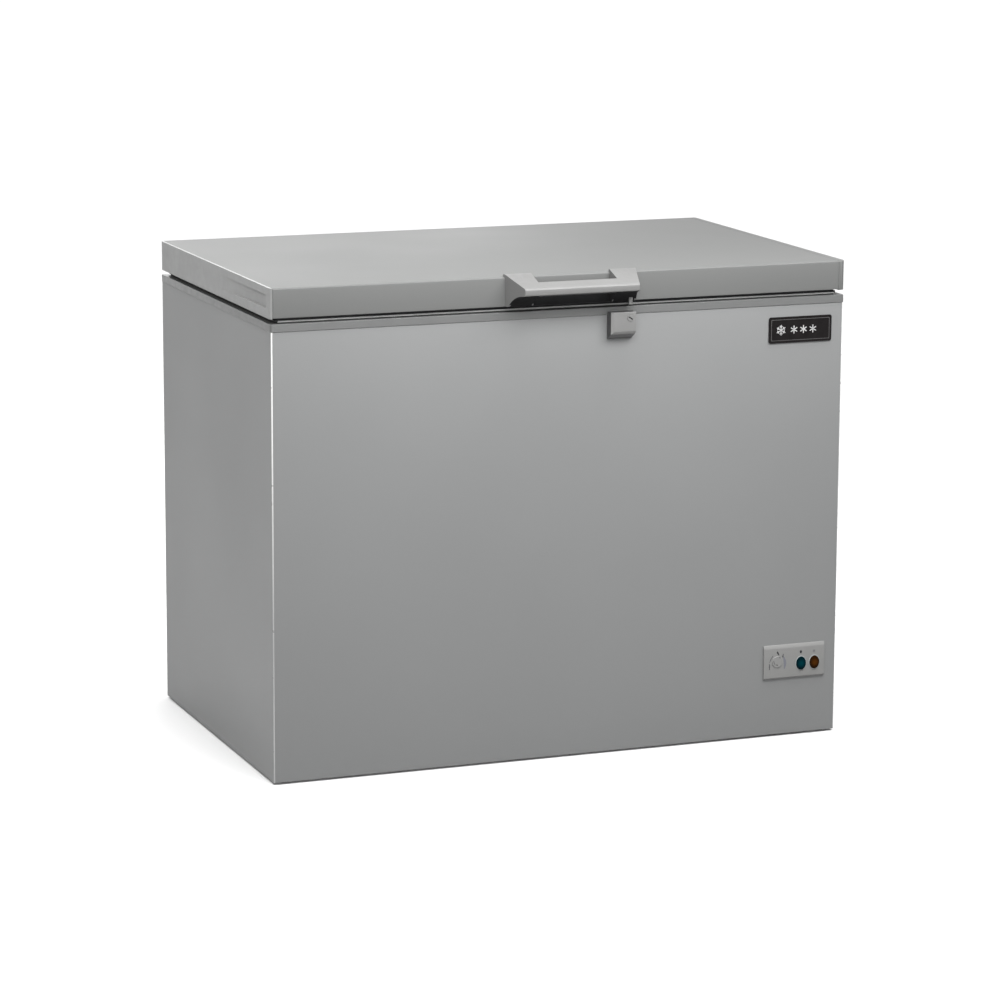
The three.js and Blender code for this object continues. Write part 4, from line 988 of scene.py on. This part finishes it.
def basket_bails():
    """Wire bails that stand up from the rim and hook over the frame's ledge."""
    wire = 2.2 * MM
    for where, outward in (("front", -1), ("back", 1)):
        node = "basket_handle_" + where
        low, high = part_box(node)
        out = low.y + wire if outward < 0 else high.y - wire
        inner = high.y - wire if outward < 0 else low.y + wire
        x0, x1, bottom, top = low.x + wire, high.x - wire, low.z + wire, high.z - wire
        hook = 14 * MM
        run = bent(
            [
                (x0 + hook, inner, bottom), (x0, inner, bottom), (x0, inner, top), (x0, out, top),
                (x1, out, top), (x1, inner, top), (x1, inner, bottom), (x1 - hook, inner, bottom),
            ],
            5 * MM,
        )
        wires(node + "_fine", [run], wire, "white_wire", BODY_OF[node], [node], sides=5)


# ---------- drain ----------
def drain_plug():
    """Tapered plug with a flange on the tub's floor and a grip with a bead at its top."""
    low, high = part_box("drain_plug")
    centre = centre_of("drain_plug")
    depth = 18 * MM
    place = Vector((centre.x, centre.y, low.z + depth))
    grip = high.z - place.z
    taper = [(0, -depth), (8.2 * MM, -depth), (9 * MM, -17 * MM), (10 * MM, 0)]
    flange = [
        (18.4 * MM, 0), (19 * MM, 0.8 * MM), (18.6 * MM, 2.4 * MM), (16 * MM, 3.2 * MM),
        (7.4 * MM, 4.4 * MM), (5.6 * MM, 6 * MM),
    ]
    knob = [
        (5 * MM, 8.4 * MM), (5.8 * MM, grip - 3 * MM), (7 * MM, grip - 1.6 * MM),
        (6.2 * MM, grip - 0.3 * MM), (0, grip),
    ]
    profile = taper + flange + knob
    add_piece(
        "drain_plug_fine", lathe(profile, place), SLOT_OF["drain_plug"], "drain_plug",
        ["drain_plug"],
    )


# ---------- hinges and screws ----------
def hinge_springs():
    """Torsion spring round each hinge pin, its tail down the base leaf."""
    for hand in ("left", "right"):
        node = "hinge_spring_" + hand
        low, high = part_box(node)
        axis = centre_of("hinge_pin_" + hand)
        wire, inset, coil = 0.95 * MM, 1.4 * MM, 6.4 * MM
        turns, steps = 7, 24
        start, end = low.x + inset, high.x - inset
        run = []
        for i in range(turns * steps + 1):
            angle = 2 * math.pi * i / steps
            x = start + (end - start) * i / (turns * steps)
            run.append((x, axis.y - coil * math.cos(angle), axis.z + coil * math.sin(angle)))
        run.append((end, axis.y - coil - 0.3 * MM, axis.z - 8 * MM))
        run.append((end, axis.y - coil - 0.8 * MM, axis.z - 26 * MM))
        wires(node + "_fine", [run], wire, "bare_steel", BODY_OF[node], [node])


def screw_head(radius):
    """Pan head with a cross recess, standing on the origin along +Z."""
    height, buried, steps = 0.55 * radius, -0.2 * MM, 6
    shoulder = 0.35  # the straight part of the head's height
    profile = [(0, buried), (radius, buried), (radius, shoulder * height)]
    for i in range(1, steps):
        angle = math.pi / 2 * i / steps
        rise = shoulder + (1 - shoulder) * math.sin(angle)
        profile.append((radius * math.cos(angle), height * rise))
    profile.append((0, height))
    blade, reach = 0.16 * radius, 0.58 * radius
    cross = [
        block((-a, -b, 0.45 * height), (a, b, 2 * height)) for a, b in ((blade, reach), (reach, blade))
    ]
    return carved(lathe(profile, Vector(), Z, 32), *cross)


def screws(name, spots, axis, radius, body):
    heads = []
    for spot in spots:
        head = screw_head(radius)
        head.transform(Matrix.Translation(spot) @ frame_of(axis))
        heads.append(head)
    add_piece(name, grouped(*heads), "zinc_steel", body)


def all_screws():
    """Screws on the hinges, the compressor cover, the back sheet and the vent grille."""
    hinge_screw, sheet_screw, grille_screw = 4.2 * MM, 3.6 * MM, 3.2 * MM
    sheet = 2.5 * MM
    for hand in ("left", "right"):
        low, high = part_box("hinge_base_" + hand)
        x = (low.x + high.x) / 2
        leaf = low.y + sheet
        spots = [
            (x + dx, leaf, low.z + dz) for dx in (-11 * MM, 11 * MM) for dz in (12 * MM, 40 * MM)
        ]
        screws("hinge_base_screws_" + hand, spots, Y, hinge_screw, "cabinet")
        low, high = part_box("hinge_arm_" + hand)
        leaf = low.y + sheet
        spots = [(x + dx, leaf, high.z - 7.5 * MM) for dx in (-14 * MM, 14 * MM)]
        spots.append((x + 12 * MM, leaf, high.z - 26 * MM))
        screws("hinge_arm_screws_" + hand, spots, Y, hinge_screw, "lid")
    low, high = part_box("compressor_cover")
    edge = 11 * MM
    middle = (low.x + high.x) / 2
    spots = [(px, high.y, high.z - edge) for px in (low.x + edge, middle, high.x - edge)]
    spots += [(px, high.y, low.z + edge) for px in (low.x + edge, middle, high.x - edge)]
    spots += [(px, high.y, (low.z + high.z) / 2) for px in (low.x + edge, high.x - edge)]
    screws("cover_screws", spots, Y, sheet_screw, "cabinet")
    low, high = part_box("back_panel")
    rows = [low.z + (high.z - low.z) * share for share in (0.04, 0.35, 0.66, 0.97)]
    spots = [(low.x + edge, high.y, pz) for pz in rows]
    spots += [(high.x - edge, high.y, pz) for pz in rows[2:]]
    screws("back_screws", spots, Y, sheet_screw, "cabinet")
    low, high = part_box("side_vent_grille")
    edge = 7 * MM
    spots = [
        (high.x, py, pz)
        for py in (low.y + edge, high.y - edge)
        for pz in (low.z + edge, high.z - edge)
    ]
    screws("grille_screws", spots, X, grille_screw, "cabinet")


# ---------- lid's underside ----------
def liner_ribs():
    """Long pressed ribs that stiffen the dish under the lid."""
    low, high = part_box("lid_liner")
    depth, half, margin = 1.6 * MM, 9 * MM, 150 * MM
    count = 3
    span = 0.5 * (high.y - low.y)
    middle = (low.y + high.y) / 2
    ribs = []
    for i in range(count):
        y = middle + span * (i / (count - 1) - 0.5)
        outline = rounded_rectangle(
            low.x + margin, high.x - margin, y - half, y + half, 0.99 * half,
        )
        ribs.append(prism(outline, "z", low.z - depth, low.z + 0.2 * MM))
    add_piece(
        "lid_liner_ribs", grouped(*ribs), "white_plastic", "lid", (), 1.2 * MM, 3,
    )


carried_over()
refined_nodes()
feet()
front_folds()
handle_shade_lining()
gasket()
thermostat_dial()
panel_prints()
push_button("power_switch_cap", "teal_lens", "power_button")
push_button("fast_freeze_switch_cap", "amber_lens", "fast_freeze_button")
badge()
lock_case()
key_cylinder()
basket()
basket_bails()
drain_plug()
hinge_springs()
all_screws()
liner_ribs()


# ---------- floor and light ----------
def lay_floor():
    half = 400
    bm = bmesh.new()
    corners = ((-half, -half), (half, -half), (half, half), (-half, half))
    bm.faces.new([bm.verts.new((x, y, 0)) for x, y in corners])
    mesh = bpy.data.meshes.new("floor")
    bm.to_mesh(mesh)
    bm.free()
    mesh.materials.append(pale_floor())
    floor = bpy.data.objects.new("floor", mesh)
    bpy.context.scene.collection.objects.link(floor)
    floor.visible_diffuse = False  # the white floor lights no undersides


def soft_box(name, place, target, size, watts):
    light = bpy.data.lights.new(name, "AREA")
    light.shape = "RECTANGLE"
    light.size, light.size_y = size
    light.energy = watts
    lamp = bpy.data.objects.new(name, light)
    lamp.location = place
    lamp.rotation_mode = "QUATERNION"
    lamp.rotation_quaternion = (Vector(target) - Vector(place)).to_track_quat("-Z", "Y")
    bpy.context.scene.collection.objects.link(lamp)


def mapped(tree, source, span, values):
    """A smooth step from one value to another as the source crosses a span."""
    step = tree.nodes.new("ShaderNodeMapRange")
    step.interpolation_type = "SMOOTHSTEP"
    for name, value in zip(("From Min", "From Max", "To Min", "To Max"), (*span, *values)):
        step.inputs[name].default_value = value
    tree.links.new(source, step.inputs["Value"])
    return step.outputs["Result"]


def soft_sky():
    """A dim sky, darker below the horizon, with a broad glow low behind the object."""
    world = bpy.data.worlds.new("studio")
    world.use_nodes = True
    tree = world.node_tree
    background = tree.nodes["Background"]
    background.inputs["Color"].default_value = (1, 1, 1, 1)
    toward = tree.nodes.new("ShaderNodeTexCoord").outputs["Generated"]
    facing = tree.nodes.new("ShaderNodeVectorMath")
    facing.operation = "DOT_PRODUCT"
    facing.inputs[1].default_value = Vector((0.1, 0.95, 0.25)).normalized()
    tree.links.new(toward, facing.inputs[0])
    glow = mapped(tree, facing.outputs["Value"], (0.55, 1.0), (0.47, 0.9))
    height = tree.nodes.new("ShaderNodeSeparateXYZ")
    tree.links.new(toward, height.inputs["Vector"])
    above = mapped(tree, height.outputs["Z"], (-0.08, 0.02), (0.35, 1.0))
    product = tree.nodes.new("ShaderNodeMath")
    product.operation = "MULTIPLY"
    tree.links.new(glow, product.inputs[0])
    tree.links.new(above, product.inputs[1])
    tree.links.new(product.outputs["Value"], background.inputs["Strength"])
    bpy.context.scene.world = world


def light_studio():
    soft_sky()
    sun = bpy.data.lights.new("overhead", "SUN")
    sun.energy = 3.8
    sun.angle = math.radians(40)
    lamp = bpy.data.objects.new("overhead", sun)
    bpy.context.scene.collection.objects.link(lamp)
    soft_box("front_key", (0.15, -1.2, 1.65), (0.0, -0.3, 0.75), (1.7, 0.5), 38)
    soft_box("left_fill", (-2.0, -0.3, 2.0), (-0.4, 0, 0.75), (1.0, 1.0), 19)
    soft_box("front_fill", (-1.2, -4.5, 1.3), (0.0, -0.3, 0.4), (2.2, 1.2), 54)
    soft_box("back_fill", (0.3, 3.2, 1.9), (0.0, 0.35, 0.45), (2.0, 1.0), 20)
    bpy.context.scene.view_settings.view_transform = "Standard"


lay_floor()
light_studio()
